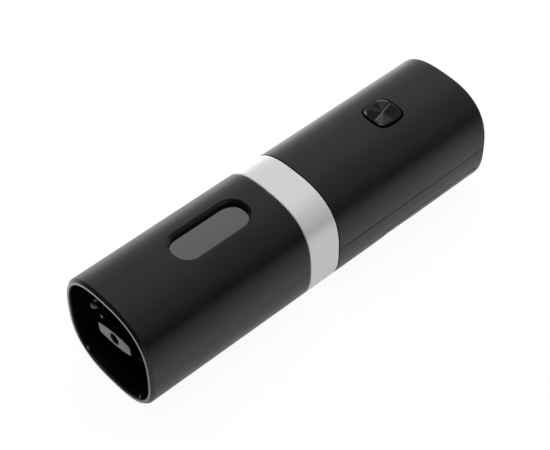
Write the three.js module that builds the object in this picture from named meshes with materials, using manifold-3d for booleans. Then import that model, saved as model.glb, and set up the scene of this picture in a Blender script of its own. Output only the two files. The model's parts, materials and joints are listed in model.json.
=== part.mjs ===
// Electric wine opener, cordless, lying on its back.
//
// The body is a rounded-square prism: a one-piece lower sleeve with the bottle mouth and the window,
// a bright steel band, and an upper housing in two halves with the button in front and the battery
// door behind. Inside, four cells feed a motor, a three-stage planetary gearbox and the worm.
//
// Every piece is drawn in body coordinates: x runs along the axis from the mouth (0) to the far end,
// y is to the side and z points to the button side. The exported group puts the origin under the
// middle of the body, on the surface that the back rests on. Millimetres.

import * as THREE from 'three';
import { mergeVertices } from 'three/addons/utils/BufferGeometryUtils.js';
import Module from 'manifold-3d';

const wasm = await Module();
wasm.setup();

// ---- Driving dimensions -------------------------------------------------------------------------

// Body: outer half width of the square section, and the exponent of its superellipse outline.
const LENGTH = 190;
const HALF = 27;
const SQUARENESS = 2.66;
const SECTION_SIDES = 48;
const WALL = 2.4;
const FIT = 0.3;

// Stations along the axis.
const BAND_START = 85.5;
const BAND_END = 101.45;
const WINDOW_CENTRE = 54.7;
const BUTTON_CENTRE = 152.2;
const DOOR_START = 127;
const DOOR_END = 186;
const DOOR_SEAM_Z = -10.2;
const DOOR_PIVOT = { x: DOOR_END - 0.15, z: -HALF };

// Mouth and window. The sloped rim of the window drops to a straight wall, and the pane is a curved
// plate behind the sleeve's wall.
const MOUTH_EDGE = { chamfer: 1.6, inset: 0.95 };
const WINDOW = { length: 39.4, width: 17.2, corner: 8, slope: 1.2, drop: 1.4 };
const PANE = { thickness: 1.8, gap: 0.1, overlap: 1.2 };
const RIB = { start: 0.5, end: 8.1, inner: 16.2, outer: 17.8, low: -22.6, high: -18.2 };

// Round liner that receives the bottle neck and the cork.
const NECK_RADIUS = 16.5;
const CORK_RADIUS = 13.2;
const LINER_WALL = 2;
const LINER_START = 11.1;
const SEAT = 27;
const LINER_END = 76;
const LAMP = { x: 9.9, y: 20.1, z: -0.3, radius: 3, barrel: 1.2, rim: 0.6, rimRadius: 3.3 };
const LINER_SCREW = { y: 17.9, z: 7.8, hole: 0.9 };

// Worm, and the guide that keeps it centred. The guide and its slots sit askew round the axis.
const WORM = { wire: 1.9, coilRadius: 1.2, pitch: 8, start: 6.4, end: 71 };
const SHANK = { radius: 3, end: 79.4 };
const EYELET = {
  start: 3.4, thickness: 2, halfSpan: 10.3, halfEnd: 2.55, corner: 0.8, boss: 3.9, bore: 2.45,
};
const GUIDE_ARM = { start: 12.3, thickness: 3, halfHeight: 2.1, reach: 16.9 };
const GUIDE_HUB = { radius: 4.5, bore: 3.35, crossbar: 1.6, margin: 1.2, strut: 1.8 };
const GUIDE_TURN = -7;

// Planetary gearbox: three equal stages, twelve-tooth sun and planets in a fixed ring.
const MODULE = 0.7;
const SMALL_TEETH = 12;
const RING_TEETH = 36;
const PLANETS = 3;
const STAGES = 3;
const STAGE_PITCH = 6;
const FIRST_STAGE = 93.6;
const GEAR_WIDTH = 4;
const CARRIER = { thickness: 1.2, gap: 0.4, radius: 10.9, pinRadius: 1, planetBore: 1.25 };
const RING_OUTER = 15.6;

// Motor, cells and electronics.
const MOTOR = { start: 101.2, length: 23.4, radius: 12.2, wall: 1, bearing: 5, shaft: 1.1, poles: 5 };
const MOTOR_TAB = { y: 7, halfWidth: 1.2, reach: 2.8 };
const MOTOR_PLATE = { start: 98.6, end: 100.9, radius: RING_OUTER + 2.3, ears: 20.5, hole: 19 };
const CELL = { radius: 7.2, length: 49.5, nubRadius: 2.7, nubLength: 1 };
const CELL_SPACING_Y = 7.7;
const UPPER_CELL_Z = 1.3;
const LOWER_CELL_Z = -14;
const BAY = { start: 128, end: 185.4, wall: 1.2 };
const BOARD = { start: 113, end: 173, halfWidth: 13.5, z: 13.2, thickness: 1.6, hole: 1.4 };
const BOARD_FACE = BOARD.z + BOARD.thickness + 0.05;
const BOARD_HOLES = [[116, 10], [116, -10], [170, 10], [170, -10]];
const SWITCH = { half: 3, height: 3.4, buttonRadius: 1.7, top: 18.9 };
const CHIP = { x: 129.5, y: -7.2, length: 9.2, width: 6.4, height: 2.2, legs: 4, pitch: 2.2 };
const CAPACITOR = { x: 122, y: 6, radius: 3.2, height: 6.55 };
const LEAD = { radius: 0.6, z: BOARD.z - 1 };

// Button: a squircle cap, a little proud of the flat, over a plunger that presses the switch.
const BUTTON = { halfLength: 7.7, halfWidth: 7.9, squareness: 3.2, gap: 0.75, proud: 0.45, low: 24.3 };
const BUTTON_EDGE = { chamfer: 0.35, inset: 0.9 };
const PLUNGER = { flange: 0.9, flangeLow: 22.2, flangeHigh: 23.2, post: 1.2, stem: 2.2, low: 20.2 };

// Screws that hold the two upper halves together.
const SCREW = { headRadius: 2.5, headHeight: 2, headZ: -9.4, shaftRadius: 1.3, length: 20 };
const SCREW_PLACES = [[119.5, 19], [119.5, -19], [182.5, 20.8], [182.5, -20.8]];

// Thumb scoops at the free end of the battery door: deepest near that end, with a short steep side
// towards it and a long shallow one away from it. The corner is where the section curves most.
const SCOOP = { depth: 0.8, start: 127.5, deepest: 133.5, end: 155, width: 13 };
const SCOOP_CORNER = { y: 23.4, z: 18.3, outward: [0.83, 0.56] };

// ---- Looks --------------------------------------------------------------------------------------

const LOOKS = {
  body: { color: 0x34363a, roughness: 0.5, metalness: 0 },
  steel: { color: 0xcfd0d2, roughness: 0.28, metalness: 1 },
  glossBlack: { color: 0x101113, roughness: 0.2, metalness: 0 },
  eyelet: { color: 0x6b6c6d, roughness: 0.45, metalness: 0 },
  smoke: { color: 0x5d6063, roughness: 0.15, metalness: 0 },
  clear: { color: 0xe8ecee, roughness: 0.05, metalness: 0 },
  nylon: { color: 0xe4e1d6, roughness: 0.5, metalness: 0 },
  darkSteel: { color: 0x8c8d90, roughness: 0.35, metalness: 1 },
  brass: { color: 0xc9a45a, roughness: 0.3, metalness: 1 },
  cell: { color: 0x2f6b4a, roughness: 0.35, metalness: 0.2 },
  board: { color: 0x1f5a3a, roughness: 0.5, metalness: 0 },
  tray: { color: 0x1a1b1d, roughness: 0.6, metalness: 0 },
};

// ---- Solids -------------------------------------------------------------------------------------

// Slivers thinner than this are dropped when a solid becomes a mesh.
const CLEANING = 0.01;

const ALONG_X = new THREE.Matrix4().makeBasis(
  new THREE.Vector3(0, 1, 0), new THREE.Vector3(0, 0, 1), new THREE.Vector3(1, 0, 0));
const AXIS_TO_X = new THREE.Matrix4().makeBasis(
  new THREE.Vector3(0, 0, 1), new THREE.Vector3(1, 0, 0), new THREE.Vector3(0, 1, 0));

// Turns a closed three.js geometry into a solid that can be joined and cut.
function solidOf(geometry) {
  const bare = geometry.clone();
  bare.deleteAttribute('normal');
  bare.deleteAttribute('uv');
  const merged = mergeVertices(bare, 1e-4);
  const index = merged.index.array;
  const triangles = [];
  for (let i = 0; i < index.length; i += 3) {
    const [a, b, c] = [index[i], index[i + 1], index[i + 2]];
    if (a !== b && b !== c && c !== a) {
      triangles.push(a, b, c);
    }
  }
  const positions = Float32Array.from(merged.attributes.position.array);
  let solid = new wasm.Manifold(meshOf(positions, triangles));
  if (solid.volume() < 0) {
    solid = new wasm.Manifold(meshOf(positions, triangles.reverse()));
  }
  return solid;
}

function meshOf(positions, triangles) {
  return new wasm.Mesh({ numProp: 3, vertProperties: positions, triVerts: Uint32Array.from(triangles) });
}

// Turns a solid back into a three.js geometry with flat faces.
function geometryOf(solid) {
  const mesh = solid.simplify(CLEANING).getMesh();
  const geometry = new THREE.BufferGeometry();
  geometry.setAttribute('position', new THREE.BufferAttribute(Float32Array.from(mesh.vertProperties), 3));
  geometry.setIndex(new THREE.BufferAttribute(Uint32Array.from(mesh.triVerts), 1));
  geometry.computeVertexNormals();
  return geometry;
}

function join(first, ...others) {
  return others.reduce((whole, piece) => whole.add(piece), first);
}

function cut(first, ...tools) {
  return tools.reduce((left, tool) => left.subtract(tool), first);
}

// Two numbers, the smaller one first.
function ordered(a, b) {
  return [Math.min(a, b), Math.max(a, b)];
}

// A box between two opposite corners.
function box(x0, x1, y0, y1, z0, z1) {
  const geometry = new THREE.BoxGeometry(x1 - x0, y1 - y0, z1 - z0);
  geometry.translate((x0 + x1) / 2, (y0 + y1) / 2, (z0 + z1) / 2);
  return solidOf(geometry);
}

// A round bar along x.
function roundBar(radius, x0, x1, sides = 32, y = 0, z = 0) {
  const geometry = new THREE.CylinderGeometry(radius, radius, x1 - x0, sides);
  geometry.applyMatrix4(AXIS_TO_X);
  geometry.translate((x0 + x1) / 2, y, z);
  return solidOf(geometry);
}

// A round bar along z.
function uprightBar(radius, z0, z1, x, y, sides = 20) {
  const geometry = new THREE.CylinderGeometry(radius, radius, z1 - z0, sides);
  geometry.rotateX(Math.PI / 2);
  geometry.translate(x, y, (z0 + z1) / 2);
  return solidOf(geometry);
}

// A body of revolution about x, from [x, radius] pairs that start and end on the axis.
function turned(profile, sides = 24) {
  const points = profile.map(([x, radius]) => new THREE.Vector2(radius, x));
  const geometry = new THREE.LatheGeometry(points, sides);
  geometry.applyMatrix4(AXIS_TO_X);
  return solidOf(geometry);
}

// The superellipse outline. Its flats touch the stated half sizes, so the section has true flats.
function squircle(halfA, halfB, squareness = SQUARENESS, sides = SECTION_SIDES) {
  const power = 2 / squareness;
  const flat = Math.cos(Math.PI / sides) ** power;
  const shape = new THREE.Shape();
  for (let i = 0; i < sides; i += 1) {
    const angle = ((i + 0.5) * 2 * Math.PI) / sides;
    const a = (halfA / flat) * Math.sign(Math.cos(angle)) * Math.abs(Math.cos(angle)) ** power;
    const b = (halfB / flat) * Math.sign(Math.sin(angle)) * Math.abs(Math.sin(angle)) ** power;
    if (i === 0) {
      shape.moveTo(a, b);
    } else {
      shape.lineTo(a, b);
    }
  }
  shape.closePath();
  return shape;
}

// Extrudes an outline from one level to another, with the same chamfer on both ends.
function extruded(shape, from, to, { chamfer = 0, inset = chamfer, steps = 1 } = {}) {
  const geometry = new THREE.ExtrudeGeometry(shape, {
    depth: to - from - 2 * chamfer,
    curveSegments: 6,
    bevelEnabled: chamfer > 0,
    bevelThickness: chamfer,
    bevelSize: inset,
    bevelOffset: -inset,
    bevelSegments: steps,
  });
  geometry.translate(0, 0, from + chamfer);
  return geometry;
}

// A prism of the body's section along x.
function prism(half, x0, x1, bevel) {
  return solidOf(extruded(squircle(half, half), x0, x1, bevel).applyMatrix4(ALONG_X));
}

// A tube of the body's section along x.
function tube(half, innerHalf, x0, x1) {
  return cut(prism(half, x0, x1), prism(innerHalf, x0 - 1, x1 + 1));
}

// A rounded rectangle centred on the origin.
function roundedRectangle(length, width, corner) {
  const shape = new THREE.Shape();
  const [x, y] = [length / 2 - corner, width / 2 - corner];
  shape.absarc(x, y, corner, 0, Math.PI / 2);
  shape.absarc(-x, y, corner, Math.PI / 2, Math.PI);
  shape.absarc(-x, -y, corner, Math.PI, 1.5 * Math.PI);
  shape.absarc(x, -y, corner, 1.5 * Math.PI, 2 * Math.PI);
  shape.closePath();
  return shape;
}

// An upright block with the window's outline, smaller by the given margin all round.
function windowBlock(margin, z0, z1, bevel) {
  const outline = roundedRectangle(
    WINDOW.length - 2 * margin, WINDOW.width - 2 * margin, WINDOW.corner - margin);
  return solidOf(extruded(outline, z0, z1, bevel).translate(WINDOW_CENTRE, 0, 0));
}

// A round wire that follows a curve.
function wire(curve, radius, steps, sides = 8) {
  const outline = new THREE.Shape();
  for (let i = 0; i < sides; i += 1) {
    const angle = (i * 2 * Math.PI) / sides;
    const point = [radius * Math.cos(angle), radius * Math.sin(angle)];
    if (i === 0) {
      outline.moveTo(...point);
    } else {
      outline.lineTo(...point);
    }
  }
  outline.closePath();
  return solidOf(new THREE.ExtrudeGeometry(outline, { steps, extrudePath: curve }));
}

// A helix along x whose radius can taper at its first end.
class Helix extends THREE.Curve {
  constructor({ start, end, radius, turns, taper = 0, y = 0, z = 0 }) {
    super();
    Object.assign(this, { start, end, radius, turns, taper, y, z });
  }

  getPoint(t, target = new THREE.Vector3()) {
    const grown = this.taper > 0 ? Math.min(1, 0.25 + (0.75 * t) / this.taper) : 1;
    const angle = t * this.turns * 2 * Math.PI;
    const x = this.start + (this.end - this.start) * t;
    const y = this.y + this.radius * grown * Math.cos(angle);
    const z = this.z + this.radius * grown * Math.sin(angle);
    return target.set(x, y, z);
  }
}

// ---- Gears --------------------------------------------------------------------------------------

const PRESSURE_ANGLE = (25 * Math.PI) / 180;
const ADDENDUM = 0.8 * MODULE;
const DEDENDUM = 1.15 * MODULE;
const TOOTH_THINNING = 0.16;

function involute(angle) {
  return Math.tan(angle) - angle;
}

// Half the angle that a tooth of an external gear spans at a radius.
function toothHalfAngle(teeth, radius, thinning) {
  const pitchRadius = (teeth * MODULE) / 2;
  const baseRadius = pitchRadius * Math.cos(PRESSURE_ANGLE);
  const local = Math.acos(Math.min(1, baseRadius / radius));
  const thickness = (Math.PI * MODULE) / 2 - thinning;
  return thickness / 2 / pitchRadius + involute(PRESSURE_ANGLE) - involute(local);
}

// A closed outline with straight-flanked teeth, the first one pointing along the first axis.
function toothedOutline(path, teeth, rootRadius, rootHalfAngle, tipRadius, tipHalfAngle) {
  for (let i = 0; i < teeth; i += 1) {
    const middle = (i * 2 * Math.PI) / teeth;
    const corners = [
      [rootRadius, middle - rootHalfAngle], [tipRadius, middle - tipHalfAngle],
      [tipRadius, middle + tipHalfAngle], [rootRadius, middle + rootHalfAngle],
    ];
    corners.forEach(([radius, angle], corner) => {
      const point = [radius * Math.cos(angle), radius * Math.sin(angle)];
      if (i === 0 && corner === 0) {
        path.moveTo(...point);
      } else {
        path.lineTo(...point);
      }
    });
  }
  path.closePath();
  return path;
}

// A twelve-tooth gear between two stations on the axis.
function smallGear(x0, x1) {
  const pitchRadius = (SMALL_TEETH * MODULE) / 2;
  const root = pitchRadius - DEDENDUM;
  const tip = pitchRadius + ADDENDUM;
  const foot = pitchRadius * Math.cos(PRESSURE_ANGLE) * 1.01;
  const outline = toothedOutline(
    new THREE.Shape(), SMALL_TEETH,
    root, toothHalfAngle(SMALL_TEETH, foot, TOOTH_THINNING),
    tip, toothHalfAngle(SMALL_TEETH, tip, TOOTH_THINNING));
  return solidOf(extruded(outline, x0, x1).applyMatrix4(ALONG_X));
}

// The fixed ring with inward teeth.
function ringGear(x0, x1) {
  const pitchRadius = (RING_TEETH * MODULE) / 2;
  const outerSpace = pitchRadius + DEDENDUM;
  const innerSpace = pitchRadius - ADDENDUM;
  const space = toothedOutline(
    new THREE.Shape(), RING_TEETH,
    innerSpace, toothHalfAngle(RING_TEETH, innerSpace, -TOOTH_THINNING),
    outerSpace, toothHalfAngle(RING_TEETH, outerSpace, -TOOTH_THINNING));
  const halfTooth = Math.PI / RING_TEETH;
  const opening = solidOf(extruded(space, x0 - 1, x1 + 1).rotateZ(halfTooth).applyMatrix4(ALONG_X));
  return cut(roundBar(RING_OUTER, x0, x1, 32), opening);
}

// ---- The assembly -------------------------------------------------------------------------------

const opener = new THREE.Group();
opener.position.set(-LENGTH / 2, 0, HALF);

// Adds one named piece to the assembly.
function add(name, shape, look) {
  const geometry = shape.isBufferGeometry ? shape : geometryOf(shape);
  const mesh = new THREE.Mesh(geometry, new THREE.MeshStandardMaterial(LOOKS[look]));
  mesh.name = name;
  opener.add(mesh);
  return mesh;
}

// Lower sleeve: one piece, with the chamfered mouth, two snap ribs inside it and the window opening.
function makeSleeve() {
  const end = BAND_START - FIT;
  const rounded = prism(HALF, 0, LENGTH, MOUTH_EDGE);
  const outside = rounded.intersect(box(-1, end, -HALF - 1, HALF + 1, -HALF - 1, HALF + 1));
  const hollow = cut(outside, prism(HALF - WALL, -1, end + 1));
  const slope = { chamfer: WINDOW.drop, inset: WINDOW.slope };
  const recess = windowBlock(0, HALF - WINDOW.drop, HALF + 5, slope);
  const opening = windowBlock(WINDOW.slope, HALF - 5, HALF + 1);
  const ribs = [-1, 1].map((side) => {
    const [y0, y1] = ordered(side * RIB.inner, side * RIB.outer);
    return box(RIB.start, RIB.end, y0, y1, RIB.low, RIB.high);
  });
  return join(cut(hollow, recess, opening), ...ribs);
}

// Window pane: a curved plate behind the sleeve's wall, wider than the opening all round.
function makePane() {
  const face = HALF - WALL - PANE.gap;
  return tube(face, face - PANE.thickness, 0, LENGTH)
    .intersect(windowBlock(-PANE.overlap, 0, HALF + 1));
}

// Neck liner: a wide bore for the bottle neck, the seat that stops the bottle's lip, and a narrower
// bore for the cork, between two square flanges. It is slotted for the guide arms and the window.
function makeLiner() {
  const flangeHalf = HALF - WALL - 0.4;
  const seatEnd = SEAT + LINER_WALL;
  const shell = join(
    roundBar(NECK_RADIUS + LINER_WALL, LINER_START, seatEnd, 32),
    roundBar(CORK_RADIUS + LINER_WALL, SEAT, LINER_END, 32),
    prism(flangeHalf, LINER_START, LINER_START + LINER_WALL),
    prism(flangeHalf, LINER_END - LINER_WALL, LINER_END));
  const neckBore = roundBar(NECK_RADIUS, LINER_START - 1, SEAT, 32);
  const corkBore = roundBar(CORK_RADIUS, SEAT - 1, LINER_END + 1, 32);
  const slotHalf = GUIDE_ARM.halfHeight + 0.4;
  const slotReach = GUIDE_ARM.reach + 0.5;
  const slot = box(LINER_START - 1, LINER_END - 0.5, -slotReach, slotReach, -slotHalf, slotHalf)
    .rotate([GUIDE_TURN, 0, 0]);
  const windowSlot = box(33, LINER_END - LINER_WALL, -9, 9, 8, HALF);
  const paneNotch = box(32, LINER_END + 1, -11.5, 11.5, 22, HALF);
  const lampPocket = roundBar(
    LAMP.rimRadius + 0.2, LINER_START - 1, LINER_START + 2.5, 24, LAMP.y, LAMP.z);
  const screwHoles = [1, -1].map((side) => roundBar(
    LINER_SCREW.hole, LINER_START - 1, LINER_START + 3, 10,
    side * LINER_SCREW.y, -side * LINER_SCREW.z));
  return cut(shell, neckBore, corkBore, slot, windowSlot, paneNotch, lampPocket, ...screwHoles);
}

// Lamp: a clear round-headed diode that lights the bottle neck.
function makeLamp() {
  const { radius, barrel, rim, rimRadius } = LAMP;
  const profile = [[-radius, 0]];
  const steps = 5;
  for (let i = 1; i <= steps; i += 1) {
    const angle = (i * Math.PI) / 2 / steps;
    profile.push([-radius * Math.cos(angle), radius * Math.sin(angle)]);
  }
  profile.push([barrel, radius], [barrel, rimRadius], [barrel + rim, rimRadius], [barrel + rim, 0]);
  return turned(profile, 24);
}

// Small pan-head screw for the liner flange, with its head towards the mouth.
function makeLinerScrew() {
  return turned([[-0.9, 0], [-0.9, 0.8], [-0.4, 1.3], [0, 1.3], [0, 0.6], [5, 0.6], [5.6, 0]], 12);
}

// Steel band: a thin bright strip wrapped round the middle of the body, with broken edges.
function makeBand() {
  const outside = prism(HALF, BAND_START, BAND_END, { chamfer: 0.25 });
  return cut(outside, prism(HALF - 0.9, BAND_START - 1, BAND_END + 1));
}

// Middle frame: spigots for the sleeve and the upper halves, a collar under the band, the bulkhead
// that carries the worm bush, and the round pocket for the gearbox.
function makeMiddleFrame() {
  const spigot = HALF - WALL - 0.4;
  const inside = HALF - 5;
  const front = LINER_END + 0.5;
  const bulkheadEnd = front + 2.6;
  const pocketEnd = 98;
  const shell = join(
    tube(spigot, inside, front, BAND_END + 8),
    tube(HALF - 0.9 - FIT, inside, BAND_START + 0.1, BAND_END - 0.1));
  const bulkhead = prism(spigot - 0.5, front, bulkheadEnd);
  const pocket = roundBar(RING_OUTER + FIT + 2, front + 0.5, pocketEnd, 32);
  const pocketHole = roundBar(RING_OUTER + FIT, bulkheadEnd, pocketEnd + 1, 32);
  const bushHole = roundBar(5.6, front - 1, bulkheadEnd + 1, 24);
  const wireSlot = box(bulkheadEnd - 4, BAND_END + 9, -2, 2, inside - 3, inside - 0.5);
  return cut(join(shell, bulkhead, pocket), pocketHole, bushHole, wireSlot);
}

// Bush that the worm's shank runs in.
function makeBush() {
  const front = LINER_END + 0.5;
  const sleeve = roundBar(5.3, front, front + 2.6, 24);
  const lip = roundBar(6.6, front - 0.9, front - FIT, 24);
  const neck = roundBar(5.3, front - 0.5, front + 0.5, 24);
  return cut(join(sleeve, lip, neck), roundBar(SHANK.radius + 0.4, front - 3, front + 4, 24));
}

// Worm: a tapered steel helix on a straight shank that plugs into the output carrier.
function makeWorm() {
  const { coilRadius, pitch, start, end } = WORM;
  const turns = (end - start) / pitch;
  const coil = new Helix({ start, end, radius: coilRadius, turns, taper: 0.07 });
  const radius = WORM.wire / 2;
  const helix = wire(coil, radius, Math.round(turns * 12), 6);
  const tip = turned([[-3.2, 0], [0, radius * 0.92], [0.8, radius * 0.92], [1.2, 0]], 8)
    .translate([start, coilRadius * 0.25, 0]);
  const last = 2 * Math.PI * turns;
  const shoulder = turned([[-1.2, 0], [-0.4, radius], [1.6, radius], [1.6, 0]], 8)
    .translate([end - 0.4, coilRadius * Math.cos(last), coilRadius * Math.sin(last)]);
  const shank = roundBar(SHANK.radius, end + 0.4, SHANK.end, 20);
  return join(helix, tip, shoulder, shank);
}

// Planet carrier of one stage, with its three pins and, except for the last, the next stage's sun.
function makeCarrier(stage) {
  const planetsStart = FIRST_STAGE - stage * STAGE_PITCH;
  const discEnd = planetsStart - CARRIER.gap;
  const discStart = discEnd - CARRIER.thickness;
  const orbit = SMALL_TEETH * MODULE;
  const pins = [];
  for (let i = 0; i < PLANETS; i += 1) {
    const angle = (i * 2 * Math.PI) / PLANETS;
    pins.push(roundBar(CARRIER.pinRadius, discStart + 0.2, planetsStart + GEAR_WIDTH - 0.2, 8,
      orbit * Math.cos(angle), orbit * Math.sin(angle)));
  }
  const disc = join(roundBar(CARRIER.radius, discStart, discEnd, 24), ...pins);
  if (stage < STAGES - 1) {
    return join(disc, smallGear(discStart - STAGE_PITCH + CARRIER.thickness + 2 * CARRIER.gap,
      discStart + 0.2));
  }
  return disc;
}

// Planet gear, drawn in mesh position: a gap faces the sun and the ring.
function makePlanet() {
  const gear = cut(smallGear(0, GEAR_WIDTH), roundBar(CARRIER.planetBore, -1, GEAR_WIDTH + 1, 8));
  const geometry = geometryOf(gear);
  return geometry.rotateX(Math.PI / SMALL_TEETH);
}

// Motor: an open steel can, its end cap, and the rotor with shaft and pinion.
function makeMotorCan() {
  const { start, length, radius, wall, bearing, shaft } = MOTOR;
  const outside = join(
    roundBar(radius, start, start + length, 24),
    roundBar(bearing, start - 1.4, start + 1, 20));
  return cut(outside,
    roundBar(radius - wall, start + wall, start + length + 1, 24),
    roundBar(shaft + FIT, start - 3, start + 3, 12));
}

function makeMotorCap() {
  const { start, length, radius, wall, shaft } = MOTOR;
  const { y, halfWidth, reach } = MOTOR_TAB;
  const end = start + length;
  const from = end - 3;
  const cap = join(
    roundBar(radius - wall - FIT, from, end + 0.8, 24),
    roundBar(4, end, end + 2, 16));
  const hole = roundBar(shaft + FIT, from - 1, from + 4, 16);
  const tabs = [-1, 1].map((side) => box(
    end, end + reach, side * y - halfWidth, side * y + halfWidth, -0.3, 0.3));
  return join(cut(cap, hole), ...tabs);
}

function makeMotorRotor() {
  const { start, length, radius, wall, shaft, poles } = MOTOR;
  const core = roundBar(radius - wall - 1.2, start + 3.5, start + 15, 20);
  const commutator = roundBar(4, start + 14.8, start + length - 4, 12);
  const spindle = roundBar(shaft, FIRST_STAGE + GEAR_WIDTH - 1, start + length - 0.6, 12);
  const pinion = smallGear(FIRST_STAGE, FIRST_STAGE + GEAR_WIDTH + 0.4);
  const slots = [];
  for (let i = 0; i < poles; i += 1) {
    const slot = box(start + 3, start + 16, radius - wall - 4.4, radius, -0.9, 0.9);
    slots.push(slot.rotate([(i * 360) / poles, 0, 0]));
  }
  return join(cut(core, ...slots), commutator, spindle, pinion);
}

// Plate that closes the gearbox and carries the motor.
function makeMotorPlate() {
  const { start, end, radius, ears, hole } = MOTOR_PLATE;
  const plate = join(roundBar(radius, start, end, 36), box(start, end, -ears, ears, -4, 4));
  const bearing = roundBar(MOTOR.bearing + FIT, start - 1, end + 1, 24);
  const holes = [-1, 1].map((side) => roundBar(1.2, start - 1, end + 1, 12, side * hole, 0));
  return cut(plate, bearing, ...holes);
}

// Outer shell of the upper housing, full section, closed at the far end with a softly broken edge.
function upperShell() {
  const start = BAND_END + FIT;
  const rounded = prism(HALF, start - 10, LENGTH, { chamfer: 1, steps: 2 });
  const outside = rounded.intersect(box(start, LENGTH + 1, -HALF - 1, HALF + 1, -HALF - 1, HALF + 1));
  return cut(outside, prism(HALF - WALL, start - 1, LENGTH - WALL));
}

// Front half: screw posts, the button opening with its bevelled rim, and the button's guide wall.
function makeFrontShell() {
  const half = upperShell().intersect(box(0, LENGTH + 1, -HALF - 1, HALF + 1, 0.1, HALF + 1));
  const posts = SCREW_PLACES.map(([x, y]) => uprightBar(3, 0.5, 20, x, y, 16));
  const trimmed = posts.map((post) => post.intersect(prism(HALF - 1, 0, LENGTH - 1)));
  const holes = SCREW_PLACES.map(([x, y]) => uprightBar(SCREW.shaftRadius + FIT, -1, 13, x, y, 12));
  return cut(join(half, ...trimmed), ...holes, buttonBlock(0, 10, HALF + 3));
}

// The round space that the door needs to swing about its hooks, smaller by the given margin.
function doorSweep(margin) {
  const radius = DOOR_PIVOT.x - DOOR_START - margin;
  const geometry = new THREE.CylinderGeometry(radius, radius, 3 * HALF, 96);
  return solidOf(geometry.translate(DOOR_PIVOT.x, 0, DOOR_PIVOT.z));
}

// Back half: screw pockets and the cut-out for the battery door.
function makeBackShell() {
  const half = upperShell().intersect(box(0, LENGTH + 1, -HALF - 1, HALF + 1, -HALF - 1, -0.1));
  const doorway = box(DOOR_START - 1, DOOR_END, -HALF - 1, HALF + 1, -HALF - 1, DOOR_SEAM_Z)
    .intersect(doorSweep(0));
  const pockets = SCREW_PLACES.map(([x, y]) => {
    const low = x < DOOR_START ? -HALF : DOOR_SEAM_Z + 0.2;
    return uprightBar(4.1, low, -0.4, x, y, 20).intersect(prism(HALF - 1, 0, LENGTH - 1));
  });
  const holes = SCREW_PLACES.flatMap(([x, y]) => [
    uprightBar(SCREW.shaftRadius + FIT, -HALF, 1, x, y, 12),
    uprightBar(SCREW.headRadius + FIT, -HALF - 1, SCREW.headZ + SCREW.headHeight + FIT, x, y, 20),
  ]);
  return cut(join(cut(half, doorway), ...pockets), ...holes);
}

// Battery door: the back's own curve, hooked at the far end, with a thumb scoop on each side.
function makeDoor() {
  const to = DOOR_END - FIT;
  const thickness = WALL - 0.2;
  const panel = tube(HALF, HALF - thickness, DOOR_START, to)
    .intersect(box(0, LENGTH, -HALF - 1, HALF + 1, -HALF - 1, DOOR_SEAM_Z - FIT))
    .intersect(doorSweep(FIT));
  const hookLow = -HALF + WALL + 1;
  const hooks = [-1, 1].map((side) => {
    const [y0, y1] = ordered(side * 3, side * 8);
    return join(
      box(to - 4, to + 1.3, y0, y1, hookLow, hookLow + 1),
      box(to - 4, to - 1, y0, y1, -HALF + thickness - 1, hookLow + 1));
  });
  return cut(join(panel, ...hooks), ...[-1, 1].flatMap((side) => scoopTools(side)));
}

// The two tools that cut a scoop: round on the steep side, and far flatter on the shallow side.
function scoopTools(side) {
  const { depth, start, deepest, end, width } = SCOOP;
  const outward = new THREE.Vector2(...SCOOP_CORNER.outward).normalize();
  return [start, end].map((foot) => {
    const run = Math.abs(foot - deepest);
    const radius = (run * run + depth * depth) / (2 * depth);
    const geometry = new THREE.CylinderGeometry(radius, radius, width, 360);
    geometry.rotateX(Math.atan2(outward.y, outward.x) * side);
    geometry.rotateX(Math.PI / 2);
    const y = side * (SCOOP_CORNER.y + outward.x * (radius - depth));
    const z = -(SCOOP_CORNER.z + outward.y * (radius - depth));
    const [x0, x1] = ordered(foot, deepest);
    return solidOf(geometry.translate(deepest, y, z))
      .intersect(box(x0 - 0.01, x1 + 0.01, -2 * HALF, 2 * HALF, -2 * HALF, 0));
  });
}

// A block with the button's outline, wider than the opening by the given margin.
function buttonBlock(margin, z0, z1, edge) {
  const outline = squircle(
    BUTTON.halfLength + margin, BUTTON.halfWidth + margin, BUTTON.squareness, 32);
  return solidOf(extruded(outline, z0, z1, edge).translate(BUTTON_CENTRE, 0, 0));
}

// Button cap: a metal squircle with a bevelled rim.
function makeButtonCap() {
  return buttonBlock(-BUTTON.gap, BUTTON.low, HALF + BUTTON.proud, BUTTON_EDGE);
}

// Plunger under the cap: a retaining flange and a stem over the switch.
function makeButtonPlunger() {
  const { flange, flangeLow, flangeHigh, post, stem, low } = PLUNGER;
  return join(
    buttonBlock(flange, flangeLow, flangeHigh),
    buttonBlock(-post, flangeHigh - 0.2, BUTTON.low - 0.1),
    uprightBar(stem, low, flangeLow + 0.2, BUTTON_CENTRE, 0, 16));
}

// Circuit board on the underside of the front half, and what stands on it.
function makeBoard() {
  const { start, end, halfWidth, z, thickness, hole } = BOARD;
  const board = box(start, end, -halfWidth, halfWidth, z, z + thickness);
  const holes = BOARD_HOLES.map(([x, y]) => uprightBar(hole, z - 1, z + thickness + 1, x, y, 10));
  return cut(board, ...holes);
}

function makeSwitch() {
  const { half, height, buttonRadius, top } = SWITCH;
  return join(
    box(BUTTON_CENTRE - half, BUTTON_CENTRE + half, -half, half, BOARD_FACE, BOARD_FACE + height),
    uprightBar(buttonRadius, BOARD_FACE + height - 0.2, top, BUTTON_CENTRE, 0, 16));
}

function makeDriverChip() {
  const { x, y, length, width, height, legs, pitch } = CHIP;
  const feet = [];
  for (let i = 0; i < legs; i += 1) {
    const foot = x + 1 + i * pitch;
    feet.push(box(foot, foot + 0.8, y - 1.2, y + width + 1.2, BOARD_FACE, BOARD_FACE + 0.6));
  }
  return join(box(x, x + length, y, y + width, BOARD_FACE + 0.3, BOARD_FACE + height), ...feet);
}

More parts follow.
